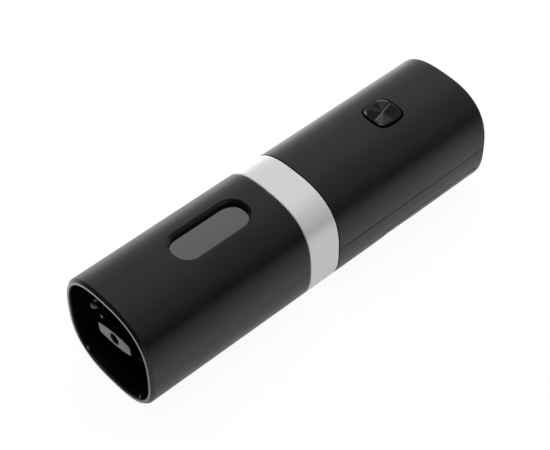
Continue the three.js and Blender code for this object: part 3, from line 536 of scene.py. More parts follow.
class Effects:
    """The shader node groups that several finishes share, each built once."""

    @staticmethod
    def _group(
        name: str, inputs: dict[str, tuple[str, object]], outputs: Sequence[str],
    ) -> tuple[Graph, bpy.types.Node, bpy.types.Node]:
        """Starts a group.

        Args:
            name: The group's name.
            inputs: For each input, its socket kind and default value.
            outputs: Names of the outputs, which are all plain values.

        Returns:
            The graph, its input node and its output node.
        """
        tree = bpy.data.node_groups.new(name, "ShaderNodeTree")
        for key, (kind, value) in inputs.items():
            socket = tree.interface.new_socket(key, in_out="INPUT", socket_type=f"NodeSocket{kind}")
            if kind != "Vector":
                socket.default_value = value
        for key in outputs:
            tree.interface.new_socket(key, in_out="OUTPUT", socket_type="NodeSocketFloat")
        graph = Graph(tree)
        return graph, graph.add("NodeGroupInput"), graph.add("NodeGroupOutput")

    @classmethod
    @cache
    def grain(cls) -> bpy.types.NodeTree:
        """Fine moulded grain: a height of the given pitch, and slow patches forty times as wide.

        Returns:
            The group, which puts out Height and Patches.
        """
        graph, given, out = cls._group(
            "moulded_grain", {"Vector": ("Vector", None), "Pitch": ("Float", 0.3)}, ["Height", "Patches"])
        scale = graph.sum("DIVIDE", 1 / MM, given.outputs["Pitch"])
        fine = graph.add("ShaderNodeTexNoise", {"Vector": given.outputs[0], "Scale": scale, "Detail": 3.0})
        wide = graph.add(
            "ShaderNodeTexNoise",
            {"Vector": given.outputs[0], "Scale": graph.sum("DIVIDE", scale, 40.0), "Detail": 4.0})
        graph.tree.links.new(fine.outputs[0], out.inputs["Height"])
        graph.tree.links.new(graph.ramp(wide.outputs[0], 0.3, 0.7), out.inputs["Patches"])
        return graph.tree

    @classmethod
    @cache
    def brushing(cls) -> bpy.types.NodeTree:
        """Brush lines: noise that is fine across the stroke and stretched along it, at two widths.

        Returns:
            The group, which puts out Height and Shade.
        """
        graph, given, out = cls._group(
            "brush_lines", {"Vector": ("Vector", None), "Stretch": ("Vector", None), "Pitch": ("Float", 0.2)},
            ["Height", "Shade"])
        scale = graph.sum("DIVIDE", 1 / MM, given.outputs["Pitch"])
        drawn = graph.add(
            "ShaderNodeVectorMath", {0: given.outputs[0], 1: given.outputs[1]}, operation="MULTIPLY")
        fine = graph.add("ShaderNodeTexNoise", {"Vector": drawn.outputs[0], "Scale": scale, "Detail": 3.0})
        wide = graph.add(
            "ShaderNodeTexNoise",
            {"Vector": drawn.outputs[0], "Scale": graph.sum("DIVIDE", scale, 5.0), "Detail": 2.0})
        both = graph.sum("MULTIPLY_ADD", wide.outputs[0], 0.5, graph.sum("MULTIPLY", fine.outputs[0], 0.5))
        graph.tree.links.new(fine.outputs[0], out.inputs["Height"])
        graph.tree.links.new(graph.ramp(both, 0.32, 0.68), out.inputs["Shade"])
        return graph.tree

    @classmethod
    @cache
    def spinning(cls) -> bpy.types.NodeTree:
        """Turned rings: noise over the distance from the centre, which the vector is measured from.

        Returns:
            The group, which puts out Height and Shade.
        """
        graph, given, out = cls._group(
            "turned_rings", {"Vector": ("Vector", None), "Pitch": ("Float", 0.1)}, ["Height", "Shade"])
        apart = graph.add("ShaderNodeSeparateXYZ", {0: given.outputs[0]})
        across = graph.sum("SQRT", graph.sum(
            "ADD", graph.sum("POWER", apart.outputs[0], 2.0), graph.sum("POWER", apart.outputs[1], 2.0)))
        count = graph.sum("DIVIDE", across, graph.sum("MULTIPLY", given.outputs["Pitch"], MM))
        rings, slow = (
            graph.add(
                "ShaderNodeTexNoise", {"W": count, "Scale": size, "Detail": detail}, noise_dimensions="1D")
            for size, detail in ((1.0, 2.0), (0.15, 1.0)))
        graph.tree.links.new(rings.outputs[0], out.inputs["Height"])
        graph.tree.links.new(graph.ramp(slow.outputs[0], 0.3, 0.7), out.inputs["Shade"])
        return graph.tree

    @classmethod
    @cache
    def fan(cls) -> bpy.types.NodeTree:
        """Painted highlights of turned metal: a fan of light towards (x, y) from the centre, and a line of
        light through it.

        The fan opens where the unit vector from the centre, dotted with (x, y) and stirred by noise,
        passes the start. The line lies where a point is close to the line through the centre along (x, y).

        Returns:
            The group, which puts out Fan and Streak.
        """
        graph, given, out = cls._group(
            "painted_highlight_fan",
            {"Vector": ("Vector", None), "X": ("Float", 1.0), "Y": ("Float", 0.0), "Start": ("Float", 0.9)},
            ["Fan", "Streak"])
        apart = graph.add("ShaderNodeSeparateXYZ", {0: given.outputs[0]})
        x, y = apart.outputs[0], apart.outputs[1]
        flat = graph.add("ShaderNodeCombineXYZ", {0: x, 1: y})
        unit = graph.add("ShaderNodeVectorMath", {0: flat.outputs[0]}, operation="NORMALIZE")
        aim = graph.add("ShaderNodeCombineXYZ", {0: given.outputs["X"], 1: given.outputs["Y"]})
        along = graph.add(
            "ShaderNodeVectorMath", {0: unit.outputs[0], 1: aim.outputs[0]}, operation="DOT_PRODUCT")
        noise = graph.add("ShaderNodeTexNoise", {"Vector": unit.outputs[0], "Scale": 2.6, "Detail": 2.0})
        waves = graph.sum("MULTIPLY_ADD", noise.outputs[0], 0.16, along.outputs["Value"])
        end = graph.sum("ADD", given.outputs["Start"], 0.1)
        fan = graph.ramp(waves, given.outputs["Start"], end)
        cross = graph.sum(
            "SUBTRACT", graph.sum("MULTIPLY", x, given.outputs["Y"]),
            graph.sum("MULTIPLY", y, given.outputs["X"]))
        aside = graph.sum("DIVIDE", graph.sum("ABSOLUTE", cross), MM)
        graph.tree.links.new(fan, out.inputs["Fan"])
        graph.tree.links.new(graph.ramp(aside, 0.08, 0.36, 1.0, 0.0), out.inputs["Streak"])
        return graph.tree

    @classmethod
    @cache
    def wear(cls) -> bpy.types.NodeTree:
        """Worn edges: where the surface bends sharply outwards, broken up by noise.

        Returns:
            The group, which puts out Mask.
        """
        graph, given, out = cls._group(
            "worn_edges", {"Vector": ("Vector", None), "Amount": ("Float", 0.3)}, ["Mask"])
        bend = graph.add("ShaderNodeNewGeometry").outputs["Pointiness"]
        noise = graph.add("ShaderNodeTexNoise", {"Vector": given.outputs[0], "Scale": 900.0, "Detail": 4.0})
        edge = graph.sum("MULTIPLY", graph.ramp(bend, 0.53, 0.62), graph.ramp(noise.outputs[0], 0.35, 0.65))
        graph.tree.links.new(graph.sum("MULTIPLY", edge, given.outputs["Amount"]), out.inputs["Mask"])
        return graph.tree

    @classmethod
    @cache
    def specks(cls) -> bpy.types.NodeTree:
        """Specks of dust: small spots round a few scattered points, none in most of the cells.

        Returns:
            The group, which puts out Mask.
        """
        graph, given, out = cls._group(
            "dust_specks", {"Vector": ("Vector", None), "Spacing": ("Float", 4.0)}, ["Mask"])
        scale = graph.sum("DIVIDE", 1 / MM, given.outputs["Spacing"])
        cells = graph.add("ShaderNodeTexVoronoi", {"Vector": given.outputs[0], "Scale": scale})
        chosen = graph.add("ShaderNodeSeparateColor", {0: cells.outputs["Color"]})
        spot = graph.sum("SUBTRACT", 1.0, graph.ramp(cells.outputs["Distance"], 0.015, 0.045))
        some = graph.sum("GREATER_THAN", chosen.outputs[0], 0.72)
        graph.tree.links.new(graph.sum("MULTIPLY", spot, some), out.inputs["Mask"])
        return graph.tree


class Pattern(Enum):
    """What covers a finish."""

    GRAIN = "moulded grain"
    BRUSHED = "straight brush lines"
    SPUN = "turned rings"


@dataclass(frozen=True)
class Finish:
    """A surface: its colour, gloss and the fine pattern that covers it. Lengths are in millimetres.

    Colour and tint are the pattern's two ends, and spread is how far the roughness goes with it.
    Turn is the anisotropy's angle as a share of a full turn, and index the index of refraction.
    A glint is a painted highlight: a fan of light towards (x, y) from the centre, with its start and its
    strength. The highlight line is a painted line of light through the first glint, with its strength. A spot
    is a bright ball (x, y, z, radius) in body coordinates that paints light into the colour. Glints, the
    line and spots are all painted light, mixed in as the highlight colour.
    """

    name: str
    slot: str
    colour: Colour
    tint: Colour
    roughness: float
    spread: float = 0.06
    metallic: float = 0.0
    specular: float = 0.5
    index: float = 1.5
    coat: float = 0.0
    anisotropy: float = 0.0
    turn: float = 0.0
    tangent: str = "X"
    # Painted light: the glints, the highlight line, the spots and their colour paint highlights and
    # reflections into the colour.
    glints: tuple[tuple[float, float, float, float], ...] = ()
    spots: tuple[tuple[float, float, float, float], ...] = ()
    highlight_streak: float = 0.0
    highlight_colour: Colour = (0.0, 0.0, 0.0)
    pattern: Pattern = Pattern.GRAIN
    pitch: float = 0.3
    depth: float = 0.01
    stretch: Colour = (1.0, 1.0, 1.0)
    centre: Colour = (0.0, 0.0, 0.0)
    wear: float = 0.0
    dust: float = 0.0

    def material(self) -> bpy.types.Material:
        """Builds the finish's material once.

        Returns:
            The material: the pattern drives the colour between the two tints, the roughness and a
            bump; painted highlights and reflections, worn edges and dust lighten the colour.
        """
        found = bpy.data.materials.get(self.name)
        if found:
            return found
        made = bpy.data.materials.new(self.name)
        made.use_nodes = True
        graph = Graph(made.node_tree)
        where = graph.add("ShaderNodeTexCoord").outputs["Object"]
        height, shade = self._pattern(graph, where)
        colour = graph.blend(shade, rgba(self.colour), rgba(self.tint))
        # Painted light: glints and spots paint highlights and reflections into the colour here.
        if self.glints or self.spots:
            colour = graph.blend(self._painted_highlights(graph, where), colour, rgba(self.highlight_colour))
        if self.wear:
            worn = graph.group(Effects.wear(), {"Vector": where, "Amount": self.wear})
            light = tuple(min(1.0, channel * 2.2 + 0.03) for channel in self.tint)
            colour = graph.blend(worn.outputs["Mask"], colour, rgba(light))
        roughness = graph.sum(
            "MULTIPLY_ADD", shade, self.spread, self.roughness - self.spread / 2, clamp=True)
        if self.dust:
            specks = graph.group(Effects.specks(), {"Vector": where})
            amount = graph.sum("MULTIPLY", specks.outputs["Mask"], self.dust)
            colour = graph.blend(amount, colour, rgba((0.45, 0.45, 0.44)))
        bump = graph.add("ShaderNodeBump", {"Height": height, "Distance": self.depth * MM, "Strength": 1.0})
        shader = self._shader(graph, colour, roughness, bump.outputs[0])
        out = graph.add("ShaderNodeOutputMaterial")
        graph.tree.links.new(shader, out.inputs["Surface"])
        return made

    def _painted_highlights(self, graph: Graph, where: bpy.types.NodeSocket) -> bpy.types.NodeSocket:
        """Paints light into the colour: fans of highlight round the centre as turned metal shows them, and
        small bright spots.

        Args:
            graph: The material's graph.
            where: Object coordinates.

        Returns:
            How strongly the painted light covers each point, from 0 to 1.
        """
        total: object = 0.0
        for x, y, z, radius in self.spots:
            place = tuple(BODY.place(np.array((x, y, z))))
            apart = graph.add("ShaderNodeVectorMath", {0: where, 1: place}, operation="DISTANCE")
            spot = graph.ramp(apart.outputs["Value"], 0.75 * radius * MM, radius * MM, 1.0, 0.0)
            total = graph.sum("ADD", spot, total)
        moved = graph.offset(where, tuple(BODY.place(np.array(self.centre)))) if self.glints else where
        for number, (x, y, start, strength) in enumerate(self.glints):
            fan = graph.group(Effects.fan(), {"Vector": moved, "X": x, "Y": y, "Start": start})
            total = graph.sum("MULTIPLY_ADD", fan.outputs["Fan"], strength, total)
            if self.highlight_streak and not number:
                total = graph.sum("MULTIPLY_ADD", fan.outputs["Streak"], self.highlight_streak, total)
        return graph.sum("MINIMUM", total, 1.0)

    def _pattern(self, graph: Graph, where: bpy.types.NodeSocket) -> tuple[object, object]:
        """Places the pattern's group.

        Args:
            graph: The material's graph.
            where: Object coordinates.

        Returns:
            The outputs that hold its height and its shade.
        """
        if self.pattern is Pattern.BRUSHED:
            made = graph.group(
                Effects.brushing(), {"Vector": where, "Stretch": self.stretch, "Pitch": self.pitch})
            return made.outputs["Height"], made.outputs["Shade"]
        if self.pattern is Pattern.SPUN:
            moved = graph.offset(where, tuple(BODY.place(np.array(self.centre))))
            made = graph.group(Effects.spinning(), {"Vector": moved, "Pitch": self.pitch})
            return made.outputs["Height"], made.outputs["Shade"]
        made = graph.group(Effects.grain(), {"Vector": where, "Pitch": self.pitch})
        return made.outputs["Height"], made.outputs["Patches"]

    def _shader(
        self, graph: Graph, colour: object, roughness: object, normal: object,
    ) -> bpy.types.NodeSocket:
        """Places the surface shader, with what is the same all over set on it.

        Args:
            graph: The material's graph.
            colour: The colour that changes over the surface.
            roughness: The roughness, likewise.
            normal: The bumped normal.

        Returns:
            The shader's output.
        """
        shader = graph.add("ShaderNodeBsdfPrincipled", {
            "Base Color": colour, "Roughness": roughness, "Normal": normal, "Metallic": self.metallic,
            "Specular IOR Level": self.specular, "IOR": self.index, "Coat Weight": self.coat,
            "Coat Roughness": 0.08, "Anisotropic": self.anisotropy, "Anisotropic Rotation": self.turn})
        if self.anisotropy:
            tangent = graph.add("ShaderNodeTangent", direction_type="RADIAL", axis=self.tangent)
            graph.tree.links.new(tangent.outputs[0], shader.inputs["Tangent"])
        return shader.outputs[0]


BUTTON_LOW, BUTTON_HIGH = BODY.box("button_cap")
BUTTON_MIDDLE = (BUTTON_LOW + BUTTON_HIGH) / 2

BLACK_SHELL = Finish(
    "satin_black_shell", "black_shell", (0.003, 0.003, 0.0031), (0.0045, 0.0045, 0.0046), 0.37, 0.03,
    specular=0.34, pitch=0.35, depth=0.003, wear=0.08, dust=0.15)
UPPER_BLACK = replace(BLACK_SHELL, name="satin_black_upper", roughness=0.385, specular=0.37)
# Same black plastic as the shell, coloured a lighter grey: a painted highlight along the mouth's rim and on
# the ribs' ends.
LIP_HIGHLIGHT = Finish(
    "lip_painted_highlight", "black_shell", (0.07, 0.07, 0.0705), (0.08, 0.08, 0.0805), 0.3, specular=0.9, pitch=0.5,
    depth=0.001)
# Coloured darker than the shell's outside though it is the same plastic: painted shade in the hollow of the
# sleeve.
SLEEVE_INSIDE = Finish(
    "sleeve_inside", "black_shell", (0.0015, 0.0015, 0.0016), (0.002, 0.002, 0.0021), 0.4, specular=0.15,
    pitch=0.6, depth=0.003)
BAND_STEEL = Finish(
    "brushed_band", "steel_band", (0.9, 0.9, 0.904), (0.95, 0.95, 0.95), 0.42, 0.05, metallic=0.34,
    specular=0.3, anisotropy=0.75, turn=0.25, pattern=Pattern.BRUSHED, pitch=0.12, depth=0.0012,
    stretch=(1.0, 0.02, 0.02))
# Painted highlights: the glints are fans of light from the centre, and the first has a thin line of light
# through it, as turned metal shows them; they are mixed into the colour as a lighter grey.
BUTTON_FACE = Finish(
    "spun_black_button", "button_metal", (0.009, 0.009, 0.0092), (0.014, 0.014, 0.0142), 0.34, 0.04,
    metallic=1.0, pattern=Pattern.SPUN, pitch=0.12, depth=0.002, centre=tuple(BUTTON_MIDDLE),
    highlight_colour=(0.2, 0.2, 0.202), highlight_streak=0.6, glints=(
        (0.962, 0.272, 1.06, 0.2), (-0.837, -0.548, 0.97, 0.3), (0.671, 0.741, 0.98, 0.12),
        (-0.3, -0.954, 0.96, 0.13), (-0.3, 0.954, 0.98, 0.1)))
# Painted highlights: the glints put light on the bevel at its left corner, its top and its bottom, as a
# lighter grey in the colour.
BUTTON_RIM = Finish(
    "button_bevel", "button_metal", (0.014, 0.014, 0.0142), (0.02, 0.02, 0.0202), 0.2, 0.04, metallic=1.0,
    pitch=0.4, depth=0.001, centre=tuple(BUTTON_MIDDLE), highlight_colour=(0.3, 0.3, 0.303),
    glints=((-0.738, 0.675, 1.03, 0.7), (0.671, 0.741, 1.0, 0.35), (-0.78, -0.62, 1.02, 0.25)))
INNER_BLACK = Finish(
    "gloss_black_inside", "inner_black", (0.0012, 0.0012, 0.0013), (0.002, 0.002, 0.0021), 0.2, specular=0.25,
    pitch=0.8, depth=0.003, wear=0.1)
FRAME_BLACK = Finish(
    "plain_black_frame", "frame_black", (0.008, 0.008, 0.0085), (0.013, 0.013, 0.0135), 0.5, pitch=0.3,
    depth=0.01, wear=0.3)
EYELET_GREY = Finish(
    "satin_grey_eyelet", "eyelet_grey", (0.09, 0.09, 0.091), (0.105, 0.105, 0.106), 0.42, pitch=0.25,
    depth=0.004, wear=0.2)
# The bar's countersink, sides and back are coloured near black, darker than its grey face.
EYELET_DARK_SIDES = Finish(
    "eyelet_near_black_sides", "eyelet_grey", (0.002, 0.002, 0.0021), (0.003, 0.003, 0.0031), 0.4, specular=0.2,
    pitch=0.4, depth=0.004)
WINDOW_SMOKE = Finish(
    "smoked_window", "window_smoke", (0.001, 0.001, 0.0011), (0.002, 0.002, 0.0021), 0.08, 0.02, specular=1.0,
    index=1.66, pitch=0.9, depth=0.0005, dust=0.35)
# Painted light: the larger spot is a painted reflection, a crescent of light on the dome's side towards the
# mouth, and the small one is a painted highlight dot.
LAMP_RESIN = Finish(
    "lamp_resin", "lamp_clear", (0.004, 0.004, 0.0042), (0.006, 0.006, 0.0062), 0.06, 0.02, specular=0.4,
    pitch=0.8, depth=0.0005, highlight_colour=(1.0, 1.0, 0.99),
    spots=((7.1, 20.6, -2.2, 1.75), (9.09, 19.18, 2.44, 0.7)))
WORM_STEEL = Finish(
    "polished_worm", "worm_steel", (0.56, 0.56, 0.57), (0.66, 0.66, 0.67), 0.16, metallic=1.0,
    pattern=Pattern.BRUSHED, pitch=0.2, depth=0.002, stretch=(1.0, 0.2, 0.2))
GEAR_STEEL = Finish(
    "sintered_steel", "gear_steel", (0.3, 0.3, 0.31), (0.4, 0.4, 0.41), 0.38, metallic=1.0, pitch=0.25,
    depth=0.01, wear=0.5)
GEAR_NYLON = Finish(
    "natural_nylon", "gear_nylon", (0.66, 0.64, 0.57), (0.74, 0.72, 0.65), 0.42, pitch=0.4, depth=0.008)
MOTOR_STEEL = Finish(
    "plated_motor_steel", "motor_steel", (0.46, 0.46, 0.47), (0.56, 0.56, 0.57), 0.26, metallic=1.0,
    pattern=Pattern.BRUSHED, pitch=0.3, depth=0.003, stretch=(1.0, 0.05, 0.05), wear=0.3)
BRONZE = Finish(
    "sintered_bronze", "bronze", (0.42, 0.29, 0.11), (0.52, 0.38, 0.16), 0.34, metallic=1.0, pitch=0.2,
    depth=0.008)
CONTACT_METAL = Finish(
    "plated_contact", "contact_metal", (0.58, 0.54, 0.44), (0.68, 0.64, 0.54), 0.24, metallic=1.0,
    pattern=Pattern.BRUSHED, pitch=0.25, depth=0.002, stretch=(0.05, 1.0, 0.05))
CELL_JACKET = Finish(
    "cell_sleeve", "cell_jacket", (0.02, 0.09, 0.055), (0.024, 0.105, 0.065), 0.3, coat=0.4, pitch=0.6,
    depth=0.003, wear=0.2)
CELL_SHOULDER = Finish(
    "cell_end_stripe", "cell_jacket", (0.5, 0.34, 0.07), (0.56, 0.4, 0.1), 0.3, coat=0.4, pitch=0.6,
    depth=0.003)
CELL_STEEL = Finish(
    "cell_end_steel", "cell_jacket", (0.6, 0.6, 0.61), (0.7, 0.7, 0.71), 0.22, metallic=1.0, pitch=0.3,
    depth=0.003)
BOARD_GREEN = Finish(
    "solder_mask", "board_green", (0.015, 0.1, 0.045), (0.02, 0.13, 0.06), 0.3, coat=0.3, pitch=0.5,
    depth=0.006)
PART_BLACK = Finish(
    "component_body", "part_black", (0.012, 0.012, 0.0125), (0.02, 0.02, 0.0205), 0.4, pitch=0.2, depth=0.006)
CAPACITOR_CAN = Finish(
    "capacitor_sleeve", "capacitor_can", (0.02, 0.03, 0.09), (0.03, 0.04, 0.11), 0.3, coat=0.3, pitch=0.4,
    depth=0.003)
LEAD_RED = Finish("red_lead", "lead_red", (0.4, 0.02, 0.02), (0.46, 0.03, 0.03), 0.5, pitch=0.3, depth=0.004)
LEAD_BLACK = Finish(
    "black_lead", "lead_black", (0.012, 0.012, 0.0125), (0.02, 0.02, 0.0205), 0.5, pitch=0.3, depth=0.004)
# Near black all over; its spots paint a highlight dot on each flange screw's head.
SCREW_DARK = Finish(
    "near_black_liner_screw", "screw_steel", (0.002, 0.002, 0.0021), (0.003, 0.003, 0.0031), 0.35, specular=0.1,
    pitch=0.15, depth=0.002, highlight_colour=(0.95, 0.95, 0.94),
    spots=((10.2, 18.1, -7.9, 0.95), (10.2, -18.1, 7.9, 0.95)))
SCREW_STEEL = Finish(
    "plated_screw", "screw_steel", (0.4, 0.4, 0.41), (0.5, 0.5, 0.51), 0.16, metallic=1.0,
    pattern=Pattern.BRUSHED, pitch=0.15, depth=0.002, stretch=(0.2, 1.0, 1.0), wear=0.4)


# ---- Pieces --------------------------------------------------------------------------------------

BODY_OF = {node: body for body, nodes in frame["record"]["behaviour"]["bodies"].items() for node in nodes}


def put(name: str, mesh: bpy.types.Mesh, finishes: Sequence[Finish], *nodes: str) -> bpy.types.Object:
    """Makes a mesh a piece of the object.

    Args:
        name: The piece's name.
        mesh: Its mesh, in the frame's metres.
        finishes: Its finishes, in the order of the mesh's material numbers.
        nodes: The CAD nodes that it stands for. It rides on the first one's body.

    Returns:
        The piece.
    """
    piece = bpy.data.objects.new(name, mesh)
    bpy.context.scene.collection.objects.link(piece)
    for finish in finishes:
        mesh.materials.append(finish.material())
    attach(piece, BODY_OF[nodes[0]])
    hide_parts(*nodes)
    log.info("%s: %d faces, for %s", name, len(mesh.polygons), ", ".join(nodes))
    return piece


def refined(node: str, finish: Finish, bevel: float = 0.12) -> bpy.types.Object:
    """Gives a CAD solid broken edges and smooth round faces.

    Args:
        node: The CAD node.
        finish: The piece's finish.
        bevel: Width of the broken edges, in millimetres.

    Returns:
        The piece that stands for the node.
    """
    mesh = bpy.data.meshes.new(f"{node}_fine")
    work = bmesh.new()
    work.from_mesh(frame["nodes"][node].data)
    bmesh.ops.remove_doubles(work, verts=work.verts, dist=MERGE)
    bmesh.ops.dissolve_limit(work, angle_limit=math.radians(0.4), verts=work.verts, edges=work.edges)
    work.to_mesh(mesh)
    work.free()
    mesh.shade_smooth()
    mesh.set_sharp_from_angle(angle=CREASE)
    piece = put(f"{node}_fine", mesh, [finish], node)
    edges = piece.modifiers.new("edges", "BEVEL")
    edges.width = bevel * MM
    edges.segments = 2
    edges.limit_method = "ANGLE"
    edges.angle_limit = CREASE
    edges.use_clamp_overlap = True
    faces = piece.modifiers.new("faces", "WEIGHTED_NORMAL")
    faces.keep_sharp = True
    return piece


@dataclass(frozen=True)
class Step:
    """One turn of a port's rim: an inset from its outline, at a depth under the skin or at a level."""

    inset: float
    depth: float | None = None
    level: float | None = None


@dataclass(frozen=True)
class Port:
    """A hole through a wall, seen along z, with the steps of its rim from outside to inside."""

    x: float
    y: float
    outline: Outline
    rim: float
    steps: tuple[Step, ...]
    margin: float = 1.6

    @property
    def reach(self) -> tuple[float, float]:
        """Half sizes of the patch that the hole needs."""
        return self.outline.half_x + self.margin, self.outline.half_y + self.margin


@dataclass
class Wall:
    """A wall that follows the body's section: two surfaces over the same rows and columns.

    A point is at (x, r cos a, r sin a) with r the superellipse's radius. A half wall is lifted off
    the parting plane by the gap: z becomes gap + z (1 - gap / half).
    """

    outer_profile: Array
    inner_profile: Array
    angles: Array
    side: int = 1
    gap: float = 0.0
    ring: bool = False
    bend: Callable[[Array], Array] | None = None
    dents: Sequence[Callable[[Array], Array]] = ()
    missing: Callable[[Array, Array], Array] | None = None
    ports: Sequence[Port] = ()
    marks: int | Array = 0
    inside: int = 0

    def skin(self, x: Array, angle: Array, half: Array | float) -> Array:
        """Gives points of the section at the given half size.

        Args:
            x: Stations.
            angle: Polar angles, of a shape that goes with x.
            half: Half sizes, likewise.

        Returns:
            Points (..., 3).
        """
        radius = BODY.radius(angle, half)
        z = self.gap + radius * np.sin(angle) * (1 - self.gap / BODY.half)
        return np.stack(np.broadcast_arrays(x, radius * np.cos(angle), self.side * z), -1)

    def level(self, y: Array, half: float) -> Array:
        """Height of the skin over a sideways distance, away from the parting plane."""
        return self.gap + BODY.height(y, half) * (1 - self.gap / BODY.half)

    def surfaces(self) -> tuple[Array, Array]:
        """Works out both surfaces.

        Returns:
            The outer and the inner points (rows, columns, 3).
        """
        angle = self.angles[None]
        sheets = [
            self.skin(profile[:, :1], angle, profile[:, 1:])
            for profile in (self.outer_profile, self.inner_profile)]
        if self.bend:
            sheets = [self.bend(sheet) for sheet in sheets]
        across = BODY.normal(self.angles) * np.array([1.0, self.side])
        tilt = profile_normals(self.outer_profile)
        forward = np.broadcast_to(tilt[:, None, :1], (*sheets[0].shape[:2], 1))
        normal = np.concatenate([forward, tilt[:, None, 1:] * across[None]], -1)
        depth = np.max([dent(sheets[0]) for dent in self.dents], axis=0) if self.dents else 0.0
        sheets[0] = sheets[0] - normal * np.reshape(depth, (*np.shape(depth), 1))
        return sheets[0], sheets[1]

    def build(self, net: Net) -> None:
        """Adds the wall to a net: both surfaces, the patches round its ports and its rim.

        Args:
            net: The net.
        """
        outer, inner = self.surfaces()
        rows, columns = outer.shape[0] - 1, outer.shape[1] - (0 if self.ring else 1)
        keep = np.ones((rows, columns), bool)
        if self.missing:
            keep &= ~self.missing(self.outer_profile[:, 0], self.angles)[:rows, :columns]
        whole = keep.copy()
        for port in self.ports:
            rect = self._rectangle(outer, port)
            keep[rect[0] : rect[1], rect[2] : rect[3]] = False
            self._patch(net, outer, inner, rect, port)
        a = net.grid(outer, close_columns=self.ring, keep=keep, mark=self.marks)
        b = net.grid(inner, close_columns=self.ring, keep=keep, mark=self.inside)
        self._rim(net, a, b, whole)

    def _rim(self, net: Net, outer: Array, inner: Array, whole: Array) -> None:
        """Closes the wall's free edges, which are those where only one of two cells is there.

        Args:
            net: The net.
            outer: Numbers of the outer points.
            inner: Numbers of the inner points.
            whole: Which cells are there.
        """
        padded = np.pad(whole, ((1, 1), (0, 0)))
        i, j = np.nonzero(padded[1:] != padded[:-1])
        k = (j + 1) % outer.shape[1]
        net.add_quads(np.stack([outer[i, j], outer[i, k], inner[i, k], inner[i, j]], -1))
        if self.ring:
            i, j = np.nonzero(whole != np.roll(whole, 1, axis=1))
        else:
            padded = np.pad(whole, ((0, 0), (1, 1)))
            i, j = np.nonzero(padded[:, 1:] != padded[:, :-1])
        net.add_quads(np.stack([outer[i, j], outer[i + 1, j], inner[i + 1, j], inner[i, j]], -1))

    def _rectangle(self, outer: Array, port: Port) -> tuple[int, int, int, int]:
        """Finds the rows and columns of cells round a port, on the side that it faces.

        Args:
            outer: The outer points.
            port: The port.

        Returns:
            First and last row, first and last column.
        """
        facing = np.nonzero(outer[outer.shape[0] // 2, :, 2] * self.side > 0)[0]
        y = outer[outer.shape[0] // 2, facing, 1]
        inside = facing[np.abs(y - port.y) < port.reach[1]]
        j0, j1 = inside.min() - 1, inside.max() + 1
        x = outer[:, (j0 + j1) // 2, 0]
        straight = self.outer_profile[:, 1] == BODY.half
        straight = np.nonzero((np.abs(x - port.x) < port.reach[0]) & straight)[0]
        return straight.min() - 1, straight.max() + 1, j0, j1

    def _patch(
        self, net: Net, outer: Array, inner: Array, rect: tuple[int, int, int, int], port: Port,
    ) -> None:
        """Fills the rectangle round a port with rings, from the outer skin down the rim to the inner.

        A ring on a skin is a blend, in x and angle, between the rectangle and the port's outline.

        Args:
            net: The net.
            outer: The outer points.
            inner: The inner points.
            rect: The rectangle's rows and columns.
            port: The port.
        """
        i0, i1, j0, j1 = rect
        wide, long = j1 - j0, i1 - i0
        i = np.concatenate([np.full(wide, i0), np.arange(i0, i1), np.full(wide, i1), np.arange(i1, i0, -1)])
        j = np.concatenate([np.arange(j0, j1), np.full(long, j1), np.arange(j1, j0, -1), np.full(long, j0)])
        centre = np.array([port.x, port.y])
        border = outer[i, j]
        offsets = border[:, :2] - centre

        def on_skin(share: float, inset: float, half: float, x: Array) -> Array:
            """A ring that is a share of the way from the rectangle to the outline, on one skin.

            Args:
                share: How far along the way it lies.
                inset: How far inside the outline the way ends.
                half: Half size of the skin's section.
                x: Stations of the rectangle's points.

            Returns:
                The ring's points.
            """
            plan = centre + port.outline.at(offsets, inset)
            edge = np.arctan2(BODY.height(plan[:, 1], half), plan[:, 1])
            angle = self.angles[j] + (edge - self.angles[j]) * share
            return self.skin(x + (plan[:, 0] - x) * share, angle, half)

        def at_step(step: Step) -> Array:
            """The ring of one step of the rim.

            Args:
                step: The step.

            Returns:
                The ring's points.
            """
            plan = centre + port.outline.at(offsets, step.inset)
            high = step.level if step.level is not None else self.level(plan[:, 1], BODY.half) - step.depth
            return np.stack([plan[:, 0], plan[:, 1], self.side * (high + 0 * plan[:, 0])], -1)

        turn = np.linspace(0, RIGHT, 5)[1:]
        rim = [Step(-port.rim * (1 - math.sin(a)), depth=port.rim * (1 - math.cos(a))) for a in turn]
        last = port.steps[-1].inset
        rings = [border]
        rings += [on_skin(share, -port.rim, BODY.half, border[:, 0]) for share in (0.35, 0.65, 0.87, 1.0)]
        rings += [at_step(step) for step in (*rim, *port.steps)]
        rings += [on_skin(share, last, BODY.inner, inner[i, j][:, 0]) for share in (1.0, 0.7, 0.35)]
        rings += [inner[i, j]]
        net.grid(np.stack(rings), close_columns=True)


def plate(net: Net, outline: Outline, x: float, rings: Sequence[tuple[float, float, float]],
          count: int, marks: int | Array = 0) -> None:
    """Adds a closed plate whose rings follow an outline and whose two faces close on its spine.

    Args:
        net: The net.
        outline: The outline.
        x: Station of its centre.
        rings: For each ring, from the top's middle to the bottom's: inset, half size of the section
            that it lies on (0 for a flat level), and height over that section.
        count: Points round the outline.
        marks: Number of the finish, for all faces or one for each gap between rings.
    """
    offsets = around(outline.half_x + 5, outline.half_y + 5, count)
    made = []
    for inset, half, rise in rings:
        plan = outline.at(offsets, inset)
        z = (BODY.height(plan[:, 1], half) if half else 0.0) + rise + 0 * plan[:, 0]
        made.append(np.stack([x + plan[:, 0], plan[:, 1], z], -1))
    for k in (0, -1):
        spine = outline.spine(made[k][:, :2] - [x, 0.0])
        end = np.concatenate([spine + [x, 0.0], made[k][:, 2:]], axis=1)
        half = rings[k][1]
        if half:
            end[:, 2] = BODY.height(end[:, 1], half) + rings[k][2]
        made.insert(0 if k == 0 else len(made), end)
    net.grid(np.stack(made), close_columns=True, mark=marks)


# ---- Lower sleeve --------------------------------------------------------------------------------


